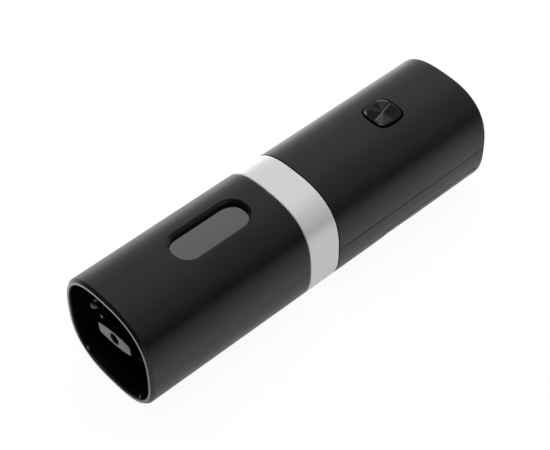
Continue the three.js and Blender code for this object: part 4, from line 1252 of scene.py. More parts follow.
@dataclass
class LowerSleeve:
    """The one-piece lower sleeve: chamfered mouth, recessed window, two snap ribs and its pane."""

    chamfer: float = 1.6
    chamfer_inset: float = 0.95
    lip: float = 0.2
    seam_depth: float = 0.035
    seam_width: float = 0.12
    window: RoundedRectangle = RoundedRectangle(19.7, 8.6, 8.0)
    slope: float = 1.1
    drop: float = 1.32
    pane_thickness: float = 1.8
    rib_y: float = 17.0
    rib_half: float = 0.8
    rib_x: tuple[float, float] = (0.9, 8.1)
    rib_z: tuple[float, float] = (-22.6, -18.2)
    highlight_tick: float = 0.2
    columns: int = 232
    row_step: float = 1.15
    end: float = field(init=False)
    window_x: float = field(init=False)

    def build(self) -> None:
        """Builds the sleeve and its window."""
        low, high = BODY.box("lower_sleeve")
        pane_low, pane_high = BODY.box("window_pane")
        self.end = float(high[0])
        self.window_x = float(pane_low[0] + pane_high[0]) / 2
        self._sleeve()
        self._pane()

    def _seam(self, points: Array) -> Array:
        """Depth of the mould's parting line: a bell curve over the height, on both sides."""
        return self.seam_depth * np.exp(-((points[..., 2] / self.seam_width) ** 2))

    def _sleeve(self) -> None:
        """Builds the sleeve: lip, chamfer and skin outside, a plain hollow inside, and the ribs."""
        edge, half, hollow = BODY.half - self.chamfer_inset, BODY.half, BODY.inner
        corners = [
            (1.0, hollow, 0), (self.lip, hollow + 0.3, 0.05), (self.lip, edge, 0.08),
            (self.chamfer, half, 0.25), (self.end, half, 0.2), (self.end, half - 0.6, 0)]
        outer = divided(rounded(corners), self.row_step)
        inner = np.stack([np.maximum(outer[:, 0], 1.0), np.full(len(outer), hollow)], -1)
        near = self.seam_width * np.array([-2.2, -1.2, -0.6, 0, 0.6, 1.2, 2.2]) / half
        angles = lines(-RIGHT, 3 * RIGHT, 2 * math.pi / self.columns)[:-1]
        angles = angles[np.abs(np.sin(angles)) > 0.014]
        angles = np.sort(np.concatenate([angles, near, math.pi + near]))
        # The lip's face cells take the lighter grey, a painted highlight round the mouth.
        lip = (outer[:-1, 0] < 0.98) & (outer[:-1, 1] < edge - 0.02)
        port = Port(
            self.window_x, 0.0, self.window, 0.16,
            (Step(self.slope - 0.1, depth=self.drop - 0.12), Step(self.slope - 0.02, depth=self.drop),
             Step(self.slope, depth=self.drop + 0.15)))
        net = Net()
        Wall(
            outer, inner, angles, ring=True, dents=[self._seam], ports=[port], marks=np.where(lip, 1, 0),
            inside=2).build(net)
        for y in (-self.rib_y, self.rib_y):
            self._rib(net, y)
        finishes = [BLACK_SHELL, LIP_HIGHLIGHT, SLEEVE_INSIDE]
        put("lower_sleeve_skin", net.mesh("lower_sleeve_skin"), finishes, "lower_sleeve")

    def _rib(self, net: Net, y: float) -> None:
        """Adds a rib low in the mouth, with a painted highlight on its end: a thin block in the lip's lighter
        colour.

        Args:
            net: The net.
            y: Place of the rib's middle.
        """
        (x0, x1), (z0, z1), half = self.rib_x, self.rib_z, self.rib_half
        net.block((x0, y - half, z0), (x1, y + half, z1), 0.3, mark=2)
        # The thin block on the rib's end is coloured in the lip's lighter grey: a painted highlight.
        net.block((x0 - self.highlight_tick, y - 0.25, z0 + 0.3), (x0 + self.highlight_tick, y + 0.25, z1 - 0.4), 0.1, mark=1)

    def _pane(self) -> None:
        """Builds the pane: a curved plate behind the wall."""
        face = BODY.inner - 0.1
        behind = face - self.pane_thickness
        rings = [(inset, face, 0.0) for inset in (7.6, 6.4, 5.2, 4.0, 3.0, 2.1, 1.3, 0.6, 0.0, -0.6, -1.1)]
        rings += [(-1.2, face, -0.1), (-1.2, behind, 0.1), (-1.1, behind, 0.0)]
        rings += [(inset, behind, 0.0) for inset in (2.0, 5.0, 7.4)]
        net = Net()
        plate(net, self.window, self.window_x, rings, 168)
        put("window_pane_smoked", net.mesh("window_pane_smoked"), [WINDOW_SMOKE], "window_pane")


# ---- Mouth: liner, lamp, screws, eyelet and worm -------------------------------------------------


def screw_head(
    net: Net, place: Callable[[Array], Array], radius: float, height: float, cross: float,
) -> None:
    """Adds a pan head with a cross recess, open at its underside's rim.

    Over the head, at a distance d from its centre, the height is a low dome less the recess, which
    is deep where a point lies within the cross's arms and fades at their ends.

    Args:
        net: The net.
        place: Turns local points, with the head's face towards +z, into body coordinates.
        radius: The head's radius.
        height: The head's height.
        cross: Half width of the cross's arms.
    """
    angle = np.linspace(0, 2 * math.pi, 96, endpoint=False)
    share = np.concatenate([np.linspace(0, 0.9, 22), [0.94, 0.97, 0.99, 1.0]])
    x, y = share[:, None] * radius * np.cos(angle), share[:, None] * radius * np.sin(angle)
    near, far = np.minimum(np.abs(x), np.abs(y)), np.hypot(x, y)
    arms = np.clip((cross - near) / (0.35 * cross) + 0.5, 0, 1)
    arms = arms * np.clip((0.62 * radius - far) / (0.2 * radius), 0, 1)
    dome = height * (0.62 + 0.38 * np.sqrt(np.clip(1 - share[:, None] ** 3.2, 0, 1)))
    z = dome - arms * 0.75 * height
    top = np.stack([x, y, z], -1)
    rim = np.stack([x[-1], y[-1], 0 * x[-1]], -1)[None]
    under = np.stack([0 * x[-1], 0 * y[-1], 0 * x[-1]], -1)[None]
    net.grid(place(np.concatenate([top, rim, under])), close_columns=True)


@dataclass
class Mouth:
    """What shows in the mouth: the neck liner, its lamp and screws, and the bush behind them."""

    flange: float = 0.3
    flange_thickness: float = 0.6
    head: float = 0.9
    cross: float = 0.22
    shank: float = 0.6

    def build(self) -> None:
        """Builds the pieces inside the lower sleeve."""
        refined("neck_liner", INNER_BLACK, 0.2)
        refined("worm_bush", BRONZE)
        refined("guide_carriage", INNER_BLACK, 0.25)
        self._lamp()
        for number in (1, 2):
            self._liner_screw(number)

    def _lamp(self) -> None:
        """Builds the lamp: a round-headed resin body with a rim at its foot."""
        low, high = BODY.box("neck_lamp")
        y, z = (low[1:] + high[1:]) / 2
        radius = (high[1] - low[1]) / 2 - self.flange
        dome_x, step_x = low[0] + radius, high[0] - self.flange_thickness
        turn = np.linspace(0, RIGHT, 15)
        dome = np.stack([dome_x - radius * np.cos(turn), radius * np.sin(turn)], -1)
        foot = rounded([
            (dome[-1, 0], radius, 0), (step_x, radius, 0.1), (step_x, radius + self.flange, 0.1),
            (high[0], radius + self.flange, 0.1), (high[0], 0, 0)], 3)
        net = Net()
        net.turned(np.concatenate([dome, foot[1:]]), (y, z), 64)
        put("neck_lamp_resin", net.mesh("neck_lamp_resin"), [LAMP_RESIN], "neck_lamp")

    def _liner_screw(self, number: int) -> None:
        """Builds one of the two flange screws, whose head faces the mouth.

        Args:
            number: The screw's number, 1 or 2.
        """
        node = f"liner_screw_{number}"
        low, high = BODY.box(node)
        y, z = (low[1:] + high[1:]) / 2
        seat, radius, end = float(low[0]) + self.head, (high[1] - low[1]) / 2, float(high[0])

        def place(points: Array) -> Array:
            """Turns the head's face towards the mouth."""
            return np.stack([seat - points[..., 2], y + points[..., 0], z + points[..., 1]], -1)

        net = Net()
        screw_head(net, place, radius, self.head, self.cross)
        shank = rounded([
            (seat, 0, 0), (seat, self.shank, 0.05), (end - 0.6, self.shank, 0.1), (end, 0, 0)], 3)
        net.turned(shank, (y, z), 24)
        put(f"{node}_dark", net.mesh(f"{node}_dark"), [SCREW_DARK], node)


@dataclass
class Eyelet:
    """The flat bar with the eye that keeps the worm centred, set a little askew round the axis."""

    half_span: float = 10.3
    end_half: float = 2.55
    boss: float = 3.9
    bore: float = 2.45
    turn: float = math.radians(-7)
    edge: float = 0.2
    plate: float = 0.32
    countersink: float = 0.32
    sides: int = 192

    def build(self) -> None:
        """Builds the bar.

        The outline is a parabola on each long side and a straight end. Along a ray at angle a it lies
        where rho |sin a| = boss - k (rho cos a)^2, or at the straight end where that is nearer, with
        a soft corner between them.
        """
        low, high = BODY.box("eyelet_bar")
        span = self.half_span
        angle = np.linspace(0, 2 * math.pi, self.sides, endpoint=False) + math.pi / self.sides
        cos, sin = np.abs(np.cos(angle)), np.abs(np.sin(angle))
        k = (self.boss - self.end_half) / span**2 * cos**2
        side = 2 * self.boss / (sin + np.sqrt(sin**2 + 4 * k * self.boss))
        reach = (side**-30.0 + (span / cos) ** -30.0) ** (-1 / 30)
        x0, x1, e = float(low[0]), float(high[0]), self.edge
        sunk = self.countersink
        loop = rounded([
            (x0 + sunk, 0, 0.1), (x0, sunk, 0.04), (x0, 1, e), (x1, 1, e), (x1, 0, e)], 4, closed=True)
        x = loop[:, :1] + 0 * angle
        radius = self._spread(loop[:, 1:], reach)
        turned = angle + self.turn
        points = np.stack([x, radius * np.cos(turned), radius * np.sin(turned)], -1)
        middle = (loop + np.roll(loop, -1, axis=0)) / 2
        # Grey on the face and the first plate depth of its outer sides; near black on the countersink, the
        # rest of the sides and the back.
        front = (middle[:, 0] < x0 + self.plate) & (middle[:, 1] > sunk - 0.01)
        net = Net()
        net.grid(points, close_rows=True, close_columns=True, mark=np.where(front, 0, 1))
        put("eyelet_bar_satin", net.mesh("eyelet_bar_satin"), [EYELET_GREY, EYELET_DARK_SIDES], "eyelet_bar")

    def _spread(self, share: Array, reach: Array) -> Array:
        """Carries the loop's sizes near 0 to the bore and those near 1 to the outline.

        Args:
            share: Sizes of the loop, from 0 at the bore to 1 at the outline.
            reach: Distance of the outline along each ray.

        Returns:
            Distances from the axis.
        """
        near_bore = self.bore + np.minimum(share, 0.5)
        near_rim = reach - np.minimum(1 - share, 0.5)
        return np.where(share < 0.5, near_bore, near_rim)


@dataclass
class Worm:
    """The steel worm: a right-hand helix that tapers to a point, on a straight shank."""

    wire: float = 0.95
    coil: float = 1.2
    pitch: float = 8.0
    start: float = 6.4
    end: float = 71.0
    taper: float = 6.5
    shank: float = 3.0

    def build(self) -> None:
        """Builds the worm.

        The wire's centre is (x, R cos a, R sin a) with a = 2 pi (x - start) / pitch. R and the wire's
        radius grow from the point over the taper, as the root of the distance from it.
        """
        low, high = BODY.box("worm")
        tip = float(low[0]) + 0.02
        x = np.linspace(tip, self.end, 620)
        grown = np.clip((x - tip) / (self.start - tip + self.taper), 0, 1)
        coil = self.coil * (0.2 + 0.8 * grown * (2 - grown))
        join = np.clip((self.end - x) / 2.2, 0, 1)
        coil = coil * (0.35 + 0.65 * join * (2 - join))
        angle = 2 * math.pi * (x - self.start) / self.pitch
        path = np.stack([x, coil * np.cos(angle), coil * np.sin(angle)], -1)
        out = np.stack([0 * x, np.cos(angle), np.sin(angle)], -1)
        radius = self.wire * np.clip((x - tip) / 4.6, 0.012, 1) ** 0.75
        net = Net()
        net.tube(path, radius, out, 28)
        back = float(high[0])
        shank = rounded([
            (self.end - 0.9, 0, 0), (self.end - 0.9, 2.1, 0.5), (self.end + 0.4, self.shank, 0.4),
            (back, self.shank, 0.3), (back, 0, 0)], 4)
        net.turned(shank, sides=48)
        put("worm_polished", net.mesh("worm_polished"), [WORM_STEEL], "worm")


# ---- Band ----------------------------------------------------------------------------------------


@dataclass
class SteelBand:
    """The bright band round the middle, with broken edges."""

    thickness: float = 0.9
    chamfer: float = 0.32
    columns: int = 256

    def build(self) -> None:
        """Builds the band: its rectangular profile, chamfered outside, carried round the section."""
        low, high = BODY.box("steel_band")
        x0, x1, half, c = float(low[0]), float(high[0]), BODY.half, self.chamfer
        inner = half - self.thickness
        corners = [
            (x0, inner, 0.05), (x0, half - c, 0.07), (x0 + c, half, 0.07), (x1 - c, half, 0.07),
            (x1, half - c, 0.07), (x1, inner, 0.05)]
        profile = rounded(corners, 3, closed=True)
        profile = divided(np.concatenate([profile, profile[:1]]), 2.0)[:-1]
        angle = np.linspace(0, 2 * math.pi, self.columns, endpoint=False)
        radius = BODY.radius(angle[None], profile[:, 1:])
        points = np.stack(
            [profile[:, :1] + 0 * radius, radius * np.cos(angle), radius * np.sin(angle)], -1)
        net = Net()
        net.grid(points, close_rows=True, close_columns=True)
        put("steel_band_brushed", net.mesh("steel_band_brushed"), [BAND_STEEL], "steel_band")
        refined("middle_frame", FRAME_BLACK, 0.15)


# ---- Upper housing -------------------------------------------------------------------------------


@dataclass
class Doorway:
    """The opening in the back half and the door in it, which swings on hooks at the far end."""

    start: float
    end: float = 186.0
    seam: float = -10.2
    fit: float = 0.3
    pivot_back: float = 0.15

    @property
    def pivot(self) -> tuple[float, float]:
        """Place of the hinge line, as x and z."""
        return self.end - self.pivot_back, -BODY.half

    def front(self, z: Array, margin: float = 0.0) -> Array:
        """Station of the front edge, an arc about the hinge line: x = pivot - root(R^2 - (z - pivot z)^2).

        Args:
            z: Heights in body coordinates.
            margin: How much smaller the arc's radius R is.

        Returns:
            The edge's station at each height.
        """
        x, low = self.pivot
        reach = x - self.start - margin
        height = np.clip(z, low, self.seam) - low
        return x - np.sqrt(reach**2 - height**2)


@dataclass
class UpperHousing:
    """The two halves of the upper housing, their screws and posts."""

    doorway: Doorway
    edge: float = 1.0
    parting_round: float = 0.2
    gap: float = 0.1
    button: Squircle = Squircle(7.7, 7.9, 3.2)
    pocket: float = 2.8
    screw_x: tuple[float, float] = (119.5, 182.5)
    screw_y: tuple[float, float] = (19.0, 20.8)
    screw_head_height: float = 2.0
    screw_cross: float = 0.42
    screw_core: float = 1.16
    thread_height: float = 0.14
    thread_turns: int = 15
    half_columns: int = 118
    row_step: float = 1.25
    start: float = field(init=False)

    def build(self) -> None:
        """Builds both halves and the four case screws."""
        low, high = BODY.box("front_shell")
        self.start = float(low[0])
        self._front()
        self._back()
        for number in range(1, 5):
            self._case_screw(number)

    def _profiles(self, stops: Sequence[float], crowd: float) -> tuple[Array, Array]:
        """Gives the rows of a half: skin, rounded far edge and end face, with the hollow inside.

        Args:
            stops: Stations that need a row.
            crowd: Reach of the extra rows round them.

        Returns:
            The outer and the inner profile.
        """
        half, end = BODY.half, BODY.length
        corners = [
            (self.start, half - 0.6, 0), (self.start, half, 0.2), (end, half, self.edge), (end, 0, 0)]
        outer = divided(rounded(corners, 7), self.row_step, stops, crowd)
        inside = np.clip(outer[:, 0], self.start, end - BODY.wall)
        return outer, np.stack([inside, np.minimum(outer[:, 1], BODY.inner)], -1)

    def _angles(self, stops: Sequence[float] = ()) -> Array:
        """Columns of a half, close together at the parting edges and at the given angles."""
        near = self.parting_round / BODY.half
        return lines(0.0, math.pi, math.pi / self.half_columns, [0.0, math.pi, *stops], near)

    def _parting(self, points: Array) -> Array:
        """Depth that rounds the edge at the parting plane."""
        return broken_edge(np.abs(points[..., 2]) - self.gap, self.parting_round)

    def _front(self) -> None:
        """Builds the front half with the button's opening and the four screw posts."""
        outer, inner = self._profiles((), 0.0)
        port = Port(float(BUTTON_MIDDLE[0]), 0.0, self.button, 0.15, (Step(0.0, depth=BODY.wall - 0.2),))
        net = Net()
        Wall(outer, inner, self._angles(), gap=self.gap, dents=[self._parting], ports=[port]).build(net)
        for x, y, top in self._posts():
            post = rounded([(0.5, 1.6, 0), (0.5, 3.0, 0.3), (top, 3.0, 0.2), (top, 1.6, 0)], 3)
            loop = np.concatenate([post, post[:1]])
            net.turned(loop, (x, y), 40, axis=2)
        put("front_shell_skin", net.mesh("front_shell_skin"), [UPPER_BLACK], "front_shell")

    def _posts(self) -> list[tuple[float, float, float]]:
        """Places of the screw posts and how high each reaches inside the skin.

        Returns:
            For each post, its x, its y and its top.
        """
        places = []
        for x, y in zip(self.screw_x, self.screw_y):
            top = float(BODY.height(np.array(y + 3.0), BODY.half - 0.6)) - 0.3
            places += [(x, side * y, top) for side in (1, -1)]
        return places

    def _back(self) -> None:
        """Builds the back half: the doorway, two deep screw pockets and two behind the door."""
        door = self.doorway
        round_ = 0.22
        outer, inner = self._profiles((door.start, door.end), round_)
        scale = 1 - self.gap / BODY.half
        lift = (-door.seam - self.gap) / scale
        side = float(BODY.height(np.array(lift), BODY.half))
        seam = math.atan2(lift, side)
        angles = self._angles((seam, math.pi - seam))

        def bend(points: Array) -> Array:
            """Slides the rows along x so that the doorway's front row follows its arc.

            Args:
                points: A surface's points.

            Returns:
                The moved points.
            """
            x, shift = points[..., 0], door.front(points[..., 2]) - door.start
            before = self.start + (x - self.start) * (1 + shift / (door.start - self.start))
            within = door.end - (door.end - x) * (1 - shift / (door.end - door.start))
            moved = points.copy()
            moved[..., 0] = np.where(x < door.start, before, np.where(x < door.end, within, x))
            return moved

        def missing(x: Array, angle: Array) -> Array:
            """Cells inside the doorway.

            Args:
                x: Stations of the rows.
                angle: Angles of the columns.

            Returns:
                Whether each cell is left out.
            """
            along = (x[:-1] > door.start - 1e-4) & (x[:-1] < door.end - 1e-4)
            across = (angle > seam - 1e-6) & (angle < math.pi - seam - 1e-6)
            return along[:, None] & across[None]

        def doorway_edge(points: Array) -> Array:
            """Depth that rounds the doorway's edge.

            Args:
                points: The outer surface's points.

            Returns:
                The depth at each point.
            """
            dx = np.maximum(door.front(points[..., 2]) - points[..., 0], points[..., 0] - door.end)
            dz = points[..., 2] - door.seam
            return broken_edge(np.hypot(np.maximum(dx, 0), np.maximum(dz, 0)), round_)

        seat = float(BODY.box("case_screw_1")[0][2])
        deep = -(seat + 2.3)
        steps = (
            Step(0, level=deep + 0.12), Step(0.12, level=deep), Step(1.2, level=deep), Step(1.2, level=0.5),
            Step(-1.3, level=0.5))
        round_hole = Squircle(self.pocket, self.pocket)
        ports = [
            Port(self.screw_x[0], y * self.screw_y[0], round_hole, 0.25, steps, 1.9) for y in (1, -1)]
        net = Net()
        Wall(
            outer, inner, angles, side=-1, gap=self.gap, bend=bend, missing=missing,
            dents=[self._parting, doorway_edge], ports=ports).build(net)
        for y in (1, -1):
            low = door.seam + 0.25
            post = rounded([
                (low, self.pocket, 0.1), (-deep, self.pocket, 0), (-deep, 1.6, 0), (-0.5, 1.6, 0.1),
                (-0.5, 3.6, 0.2), (low, 3.6, 0.2)], 3, closed=True)
            net.turned(np.concatenate([post, post[:1]]), (self.screw_x[1], y * self.screw_y[1]), 48, axis=2)
        put("back_shell_skin", net.mesh("back_shell_skin"), [UPPER_BLACK], "back_shell")

    def _case_screw(self, number: int) -> None:
        """Builds one case screw, whose head faces the back.

        Args:
            number: The screw's number, from 1 to 4.
        """
        node = f"case_screw_{number}"
        low, high = BODY.box(node)
        x, y = (low[:2] + high[:2]) / 2
        radius, seat = (high[1] - low[1]) / 2, float(low[2]) + self.screw_head_height

        def place(points: Array) -> Array:
            """Turns the head's face towards the back."""
            return np.stack([x + points[..., 0], y - points[..., 1], seat - points[..., 2]], -1)

        net = Net()
        screw_head(net, place, radius, self.screw_head_height, self.screw_cross)
        turns = np.linspace(0, 1, self.thread_turns * 8 + 1)
        z = seat + 1 + turns * (high[2] - 1.6 - seat)
        thread = self.screw_core + self.thread_height * np.abs(np.sin(turns * self.thread_turns * math.pi))
        shank = np.stack([z, thread], -1)
        ends = np.array([[seat, 0.0], [seat, self.screw_core]]), np.array([[high[2], 0.0]])
        net.turned(np.concatenate([ends[0], shank, ends[1]]), (x, y), 24, axis=2)
        put(f"{node}_plated", net.mesh(f"{node}_plated"), [SCREW_STEEL], node)


@dataclass
class BatteryDoor:
    """The battery door: a curved panel with thumb scoops, hung on two hooks."""

    doorway: Doorway
    thickness: float = 2.2
    edge: float = 0.3
    scoop_depth: float = 0.8
    scoop_start: float = 127.5
    scoop_deepest: float = 133.5
    scoop_end: float = 155.0
    scoop_corner: tuple[float, float] = (23.4, -18.3)
    scoop_outward: tuple[float, float] = (0.829, -0.559)
    ridge_pitch: float = 1.5
    ridge: float = 0.12

    def build(self) -> None:
        """Builds the door.

        The panel's rows run from the arc at the front to the far edge, and its columns from seam to
        seam. Its outer surface sinks by the deepest of the broken edge and the scoops.
        """
        door = self.doorway
        low, high = BODY.box("battery_door")
        top, end = float(high[2]), door.end - door.fit
        rise = math.atan2(-top, float(BODY.height(np.array(-top), BODY.half)))
        share = lines(0.0, end - door.start, 0.5, [0.0, end - door.start], self.edge) / (end - door.start)
        angles = lines(rise, math.pi - rise, math.pi / 190, [rise, math.pi - rise], self.edge / BODY.half)
        sheets = []
        for half in (BODY.half, BODY.half - self.thickness):
            radius = BODY.radius(angles, half)
            y, z = radius * np.cos(angles), -radius * np.sin(angles)
            outside = -BODY.radius(angles, BODY.half) * np.sin(angles)
            front = door.front(outside, door.fit)
            x = front + (end - front) * share[:, None]
            sheets.append(np.stack(np.broadcast_arrays(x, y, z), -1))
        outer, inner = sheets
        to_side = np.minimum(np.abs(angles - angles[0]), np.abs(angles - angles[-1])) * BODY.half
        to_end = np.minimum(outer[..., 0] - outer[:1, :, 0], end - outer[..., 0])
        depth = np.maximum(broken_edge(np.minimum(to_end, to_side[None]), self.edge), self._scoops(outer))
        across = BODY.normal(angles) * np.array([1.0, -1.0])
        outer[..., 1:] -= depth[..., None] * across[None]
        net = Net()
        a, b = net.grid(outer), net.grid(inner)
        for one, other in ((a[0], b[0]), (a[-1], b[-1]), (a[:, 0], b[:, 0]), (a[:, -1], b[:, -1])):
            net.add_quads(np.stack([one[:-1], one[1:], other[1:], other[:-1]], -1))
        self._hooks(net, end, float(high[0]))
        put("battery_door_skin", net.mesh("battery_door_skin"), [UPPER_BLACK], "battery_door")

    def _scoops(self, points: Array) -> Array:
        """Depth of the thumb scoops, which cut the corners along a floor that is ribbed across.

        The floor is a plane square to the outward direction. Along x it sinks as a parabola from the
        scoop's start to its deepest place, and rises as a far longer one from there to its end. A
        point's depth is how far it stands out over the floor.

        Args:
            points: Points of the panel.

        Returns:
            The depth at each point.
        """
        x, ahead = points[..., 0], points[..., 0] < self.scoop_deepest
        run = np.where(ahead, self.scoop_deepest - self.scoop_start, self.scoop_end - self.scoop_deepest)
        share = 1 - ((x - self.scoop_deepest) / run) ** 2
        ribs = self.ridge * (0.5 - 0.5 * np.cos(2 * math.pi * (x - self.scoop_deepest) / self.ridge_pitch))
        floor = np.maximum(share, 0) * self.scoop_depth - np.clip(share, 0, 1) * ribs
        away = np.abs(points[..., 1]) - self.scoop_corner[0], points[..., 2] - self.scoop_corner[1]
        proud = away[0] * self.scoop_outward[0] + away[1] * self.scoop_outward[1] + floor
        return np.where(share > 0, np.maximum(proud, 0), 0.0)

    def _hooks(self, net: Net, end: float, reach: float) -> None:
        """Adds the two hooks, each an arm on a web that stands on the panel."""
        low = -BODY.half + BODY.wall + 1
        for side in (-1, 1):
            y0, y1 = sorted((side * 3.0, side * 8.0))
            net.block((end - 4, y0, low), (reach, y1, low + 1), 0.2)
            net.block((end - 4, y0, -BODY.half + self.thickness - 0.6), (end - 1, y1, low + 0.9), 0.2)


# ---- Button --------------------------------------------------------------------------------------


@dataclass
class Button:
    """The button: a spun metal cap with a bevelled rim over a plastic plunger."""

    squareness: float = 3.2
    bevel: float = 0.9
    fall: float = 0.36
    count: int = 144

    def build(self) -> None:
        """Builds the cap and refines the plunger."""
        low, high = BODY.box("button_cap")
        half_x, half_y = (high[:2] - low[:2]) / 2
        outline = Squircle(float(half_x), float(half_y), self.squareness)
        top, bottom, b = float(high[2]), float(low[2]), self.bevel
        rings = [(inset, 0.0, top) for inset in (6.6, 5.5, 4.4, 3.3, 2.2, 1.5, b + 0.05)]
        rings += [
            (b * (1 - math.sin(a)), 0.0, top - self.fall * (1 - math.cos(a)) - 0.01)
            for a in np.linspace(0.2, 1.45, 6)]
        rings += [(0.0, 0.0, top - 0.42), (0.0, 0.0, bottom + 0.3), (0.15, 0.0, bottom), (3.5, 0.0, bottom)]
        marks = np.repeat([0, 1, 2], [7, 7, 4])
        net = Net()
        plate(net, outline, float(low[0] + high[0]) / 2, rings, self.count, marks)
        finishes = [BUTTON_FACE, BUTTON_RIM, INNER_BLACK]
        put("button_cap_spun", net.mesh("button_cap_spun"), finishes, "button_cap")
        refined("button_plunger", FRAME_BLACK)


# ---- Power ---------------------------------------------------------------------------------------


@dataclass
class PowerPack:
    """The tray, its four cells and their contacts."""

    nub: float = 2.7

    def build(self) -> None:
        """Builds the cells and refines the tray and the contacts."""
        refined("battery_tray", FRAME_BLACK, 0.2)
        for number in range(1, 5):
            self._cell(number)
        for name in ("positive", "upper_bridge", "near_bridge", "lower_bridge", "negative"):
            refined(f"contact_{name}", CONTACT_METAL, 0.05)

    def _cell(self, number: int) -> None:
        """Builds one cell: a printed sleeve with a stripe at the nub's end, and steel ends.

        Args:
            number: The cell's number, from 1 to 4.
        """
        node = f"battery_cell_{number}"
        low, high = BODY.box(node)
        y, z = (low[1:] + high[1:]) / 2
        radius, length = (high[1] - low[1]) / 2, high[0] - low[0]
        body = length - 1.0
        corners = [
            (0, 0, 0), (0, radius - 1.6, 0.05), (0.3, radius - 1.2, 0.1), (0.3, radius - 0.5, 0.1),
            (0.05, radius - 0.3, 0.15), (0.4, radius, 0.3), (body - 9, radius, 0.01),
            (body - 0.4, radius, 0.3), (body, radius - 0.6, 0.2), (body - 0.3, radius - 1.4, 0.2),
            (body - 0.3, self.nub + 0.2, 0.1), (body, self.nub, 0.1), (length, self.nub - 0.1, 0.3),
            (length, 0, 0)]
        profile = rounded(corners, 3)
        middle = (profile[:-1] + profile[1:]) / 2
        outside = middle[:, 1] > radius - 0.55
        marks = np.where(outside, np.where(middle[:, 0] > body - 9, 1, 0), 2)
        nub_far = number in (2, 4)
        along = low[0] + profile[:, 0] if nub_far else high[0] - profile[:, 0]
        net = Net()
        net.turned(np.stack([along, profile[:, 1]], -1), (y, z), 56, mark=marks)
        put(f"{node}_sleeved", net.mesh(f"{node}_sleeved"), [CELL_JACKET, CELL_SHOULDER, CELL_STEEL], node)


@dataclass
class Drive:
    """The motor, its gearbox and the leads, all hidden inside the housing."""

    stages: int = 3
    planets: int = 3

    def build(self) -> None:
        """Refines every piece of the drive."""
        refined("ring_gear", GEAR_STEEL, 0.08)
        refined("motor_plate", MOTOR_STEEL)
        refined("motor_can", MOTOR_STEEL, 0.2)
        refined("motor_cap", GEAR_NYLON)
        refined("motor_rotor", GEAR_STEEL, 0.06)
        for stage in range(1, self.stages + 1):
            refined(f"planet_carrier_{stage}", GEAR_STEEL, 0.06)
            for planet in range(1, self.planets + 1):
                refined(f"planet_gear_{stage}_{planet}", GEAR_NYLON, 0.05)
        refined("motor_lead_1", LEAD_RED, 0.03)
        refined("motor_lead_2", LEAD_BLACK, 0.03)


@dataclass
class Electronics:
    """The circuit board and what stands on it."""

    def build(self) -> None:
        """Refines the board and its parts."""
        refined("circuit_board", BOARD_GREEN, 0.08)
        refined("button_switch", PART_BLACK, 0.1)
        refined("driver_chip", PART_BLACK, 0.06)
        refined("filter_capacitor", CAPACITOR_CAN, 0.2)


# ---- Studio --------------------------------------------------------------------------------------


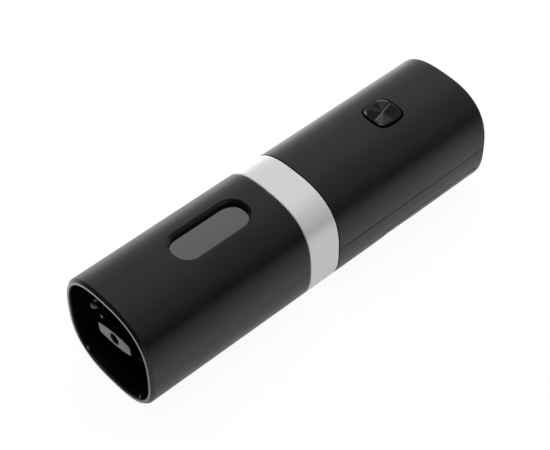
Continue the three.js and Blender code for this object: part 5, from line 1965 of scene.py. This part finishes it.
@dataclass
class Studio:
    """A pale table under soft light, and the camera."""

    azimuth: float = -41.37
    elevation: float = 47.88
    roll: float = -1.12
    distance: float = 0.6909
    aim: Colour = (-0.0036, 0.0018, 0.0270)
    lens: float = 106.96
    table_half: float = 6.0
    table_shade: float = 0.14
    table_level: float = 1.09

    def build(self) -> None:
        """Builds the camera, the table, the light and the surroundings."""
        self._camera()
        self._table()
        self._surroundings()
        bpy.context.scene.view_settings.view_transform = "Standard"

    def _camera(self) -> None:
        """Builds the camera: it looks at the aim from the given direction, turned by the roll."""
        a, e = math.radians(self.azimuth), math.radians(self.elevation)
        back = Vector((math.sin(a) * math.cos(e), -math.cos(a) * math.cos(e), math.sin(e)))
        data = bpy.data.cameras.new("camera")
        data.lens = self.lens
        data.sensor_width = 36.0
        data.clip_start, data.clip_end = 0.05, 50.0
        camera = bpy.data.objects.new("camera", data)
        turn = (-back).to_track_quat("-Z", "Y").to_matrix() @ Matrix.Rotation(math.radians(self.roll), 3, "Z")
        camera.matrix_world = Matrix.Translation(Vector(self.aim) + back * self.distance) @ turn.to_4x4()
        bpy.context.scene.collection.objects.link(camera)
        bpy.context.scene.camera = camera

    def _table(self) -> None:
        """Builds the table's top, which shows white to the camera but for a faint shadow.

        In reflections its glow changes over its top: brighter behind the object than ahead of it, most
        of all behind the far half.
        """
        s = self.table_half
        mesh = bpy.data.meshes.new("table_top")
        mesh.from_pydata([(-s, -s, 0), (s, -s, 0), (s, s, 0), (-s, s, 0)], [], [(0, 1, 2, 3)])
        table = bpy.data.objects.new("table_top", mesh)
        bpy.context.scene.collection.objects.link(table)
        material = bpy.data.materials.new("white_table")
        material.use_nodes = True
        graph = Graph(material.node_tree)
        rays = graph.add("ShaderNodeLightPath")
        paper = graph.add("ShaderNodeBsdfDiffuse", {"Color": rgba((0.85, 0.85, 0.85))})
        place = graph.add("ShaderNodeSeparateXYZ", {0: graph.add("ShaderNodeTexCoord").outputs["Object"]})
        x, y = place.outputs[0], place.outputs[1]
        behind = graph.sum(
            "MULTIPLY", graph.ramp(y, 0.02, 0.25, 2.0, 2.4), graph.ramp(x, 0.03, 0.08, 1.0, 1.5))
        ahead = graph.ramp(y, -0.25, -0.07, 0.8, 1.15)
        reflected = graph.between(graph.ramp(y, -0.02, 0.03), ahead, behind)
        mirrored = graph.sum("MAXIMUM", rays.outputs["Is Glossy Ray"], rays.outputs["Is Transmission Ray"])
        level = graph.between(mirrored, self.table_level, reflected)
        glow = graph.add("ShaderNodeEmission", {"Color": rgba((1.0, 1.0, 1.0)), "Strength": level})
        seen = graph.sum("MULTIPLY", rays.outputs["Is Camera Ray"], 1 - self.table_shade)
        mix = graph.add("ShaderNodeMixShader", {
            0: graph.sum("MAXIMUM", seen, graph.sum("MULTIPLY", mirrored, 0.6)),
            1: paper.outputs[0], 2: glow.outputs[0]})
        out = graph.add("ShaderNodeOutputMaterial")
        graph.tree.links.new(mix.outputs[0], out.inputs["Surface"])
        mesh.materials.append(material)

    def _surroundings(self) -> None:
        """Builds the world: white to the camera, and a studio of light and dark fields for the rest.

        The level in a direction (x, y, z) is 0.9, less a dark strip overhead and in front, plus a soft
        light above and one low behind the object. It falls to almost nothing on the mouth's side.
        """
        world = bpy.data.worlds.new("studio")
        bpy.context.scene.world = world
        world.use_nodes = True
        graph = Graph(world.node_tree)
        ray = graph.add("ShaderNodeTexCoord").outputs["Generated"]
        x, y, z = graph.add("ShaderNodeSeparateXYZ", {0: ray}).outputs
        aside = graph.sum("ABSOLUTE", graph.sum("SUBTRACT", x, 0.4))
        strip = graph.ramp(aside, 0.2, 0.55, 1.0, 0.0)
        above = graph.ramp(y, -0.1, 0.5, 0.42, 0.0)
        front = graph.sum(
            "MULTIPLY", graph.ramp(y, -0.45, 0.0, 1.0, 0.0), graph.ramp(z, 0.05, 0.75, 0.52, 0.0))
        dark = graph.sum("MULTIPLY", strip, graph.sum("ADD", above, front))
        toward = graph.add("ShaderNodeVectorMath", {0: ray, 1: (-0.3, 0.0, 0.954)}, operation="DOT_PRODUCT")
        key = graph.ramp(toward.outputs["Value"], 0.86, 0.96, 0.0, 2.2)
        behind = graph.sum(
            "MULTIPLY", graph.ramp(y, 0.75, 0.95, 0.0, 0.9), graph.ramp(z, 0.02, 0.25, 1.0, 0.0))
        bright = graph.sum("SUBTRACT", graph.sum("ADD", 0.9, graph.sum("ADD", key, behind)), dark)
        level = graph.sum("MULTIPLY", bright, graph.ramp(x, -0.35, -0.05, 0.06, 1.0))
        rays = graph.add("ShaderNodeLightPath").outputs["Is Camera Ray"]
        studio = graph.add("ShaderNodeBackground", {"Color": rgba((1.0, 1.0, 1.0)), "Strength": level})
        white = graph.add("ShaderNodeBackground", {"Color": rgba((1.0, 1.0, 1.0)), "Strength": 1.0})
        mix = graph.add("ShaderNodeMixShader", {0: rays, 1: studio.outputs[0], 2: white.outputs[0]})
        out = graph.add("ShaderNodeOutputWorld")
        graph.tree.links.new(mix.outputs[0], out.inputs["Surface"])


def main() -> None:
    """Builds the studio and every sub-assembly in order."""
    logging.basicConfig(level=logging.INFO, format="%(message)s")
    door_low = BODY.box("battery_door")[0]
    doorway = Doorway(start=float(door_low[0]) - Doorway.fit)
    Studio().build()
    LowerSleeve().build()
    Mouth().build()
    Eyelet().build()
    Worm().build()
    SteelBand().build()
    UpperHousing(doorway).build()
    BatteryDoor(doorway).build()
    Button().build()
    PowerPack().build()
    Drive().build()
    Electronics().build()


if __name__ == "__main__":
    main()
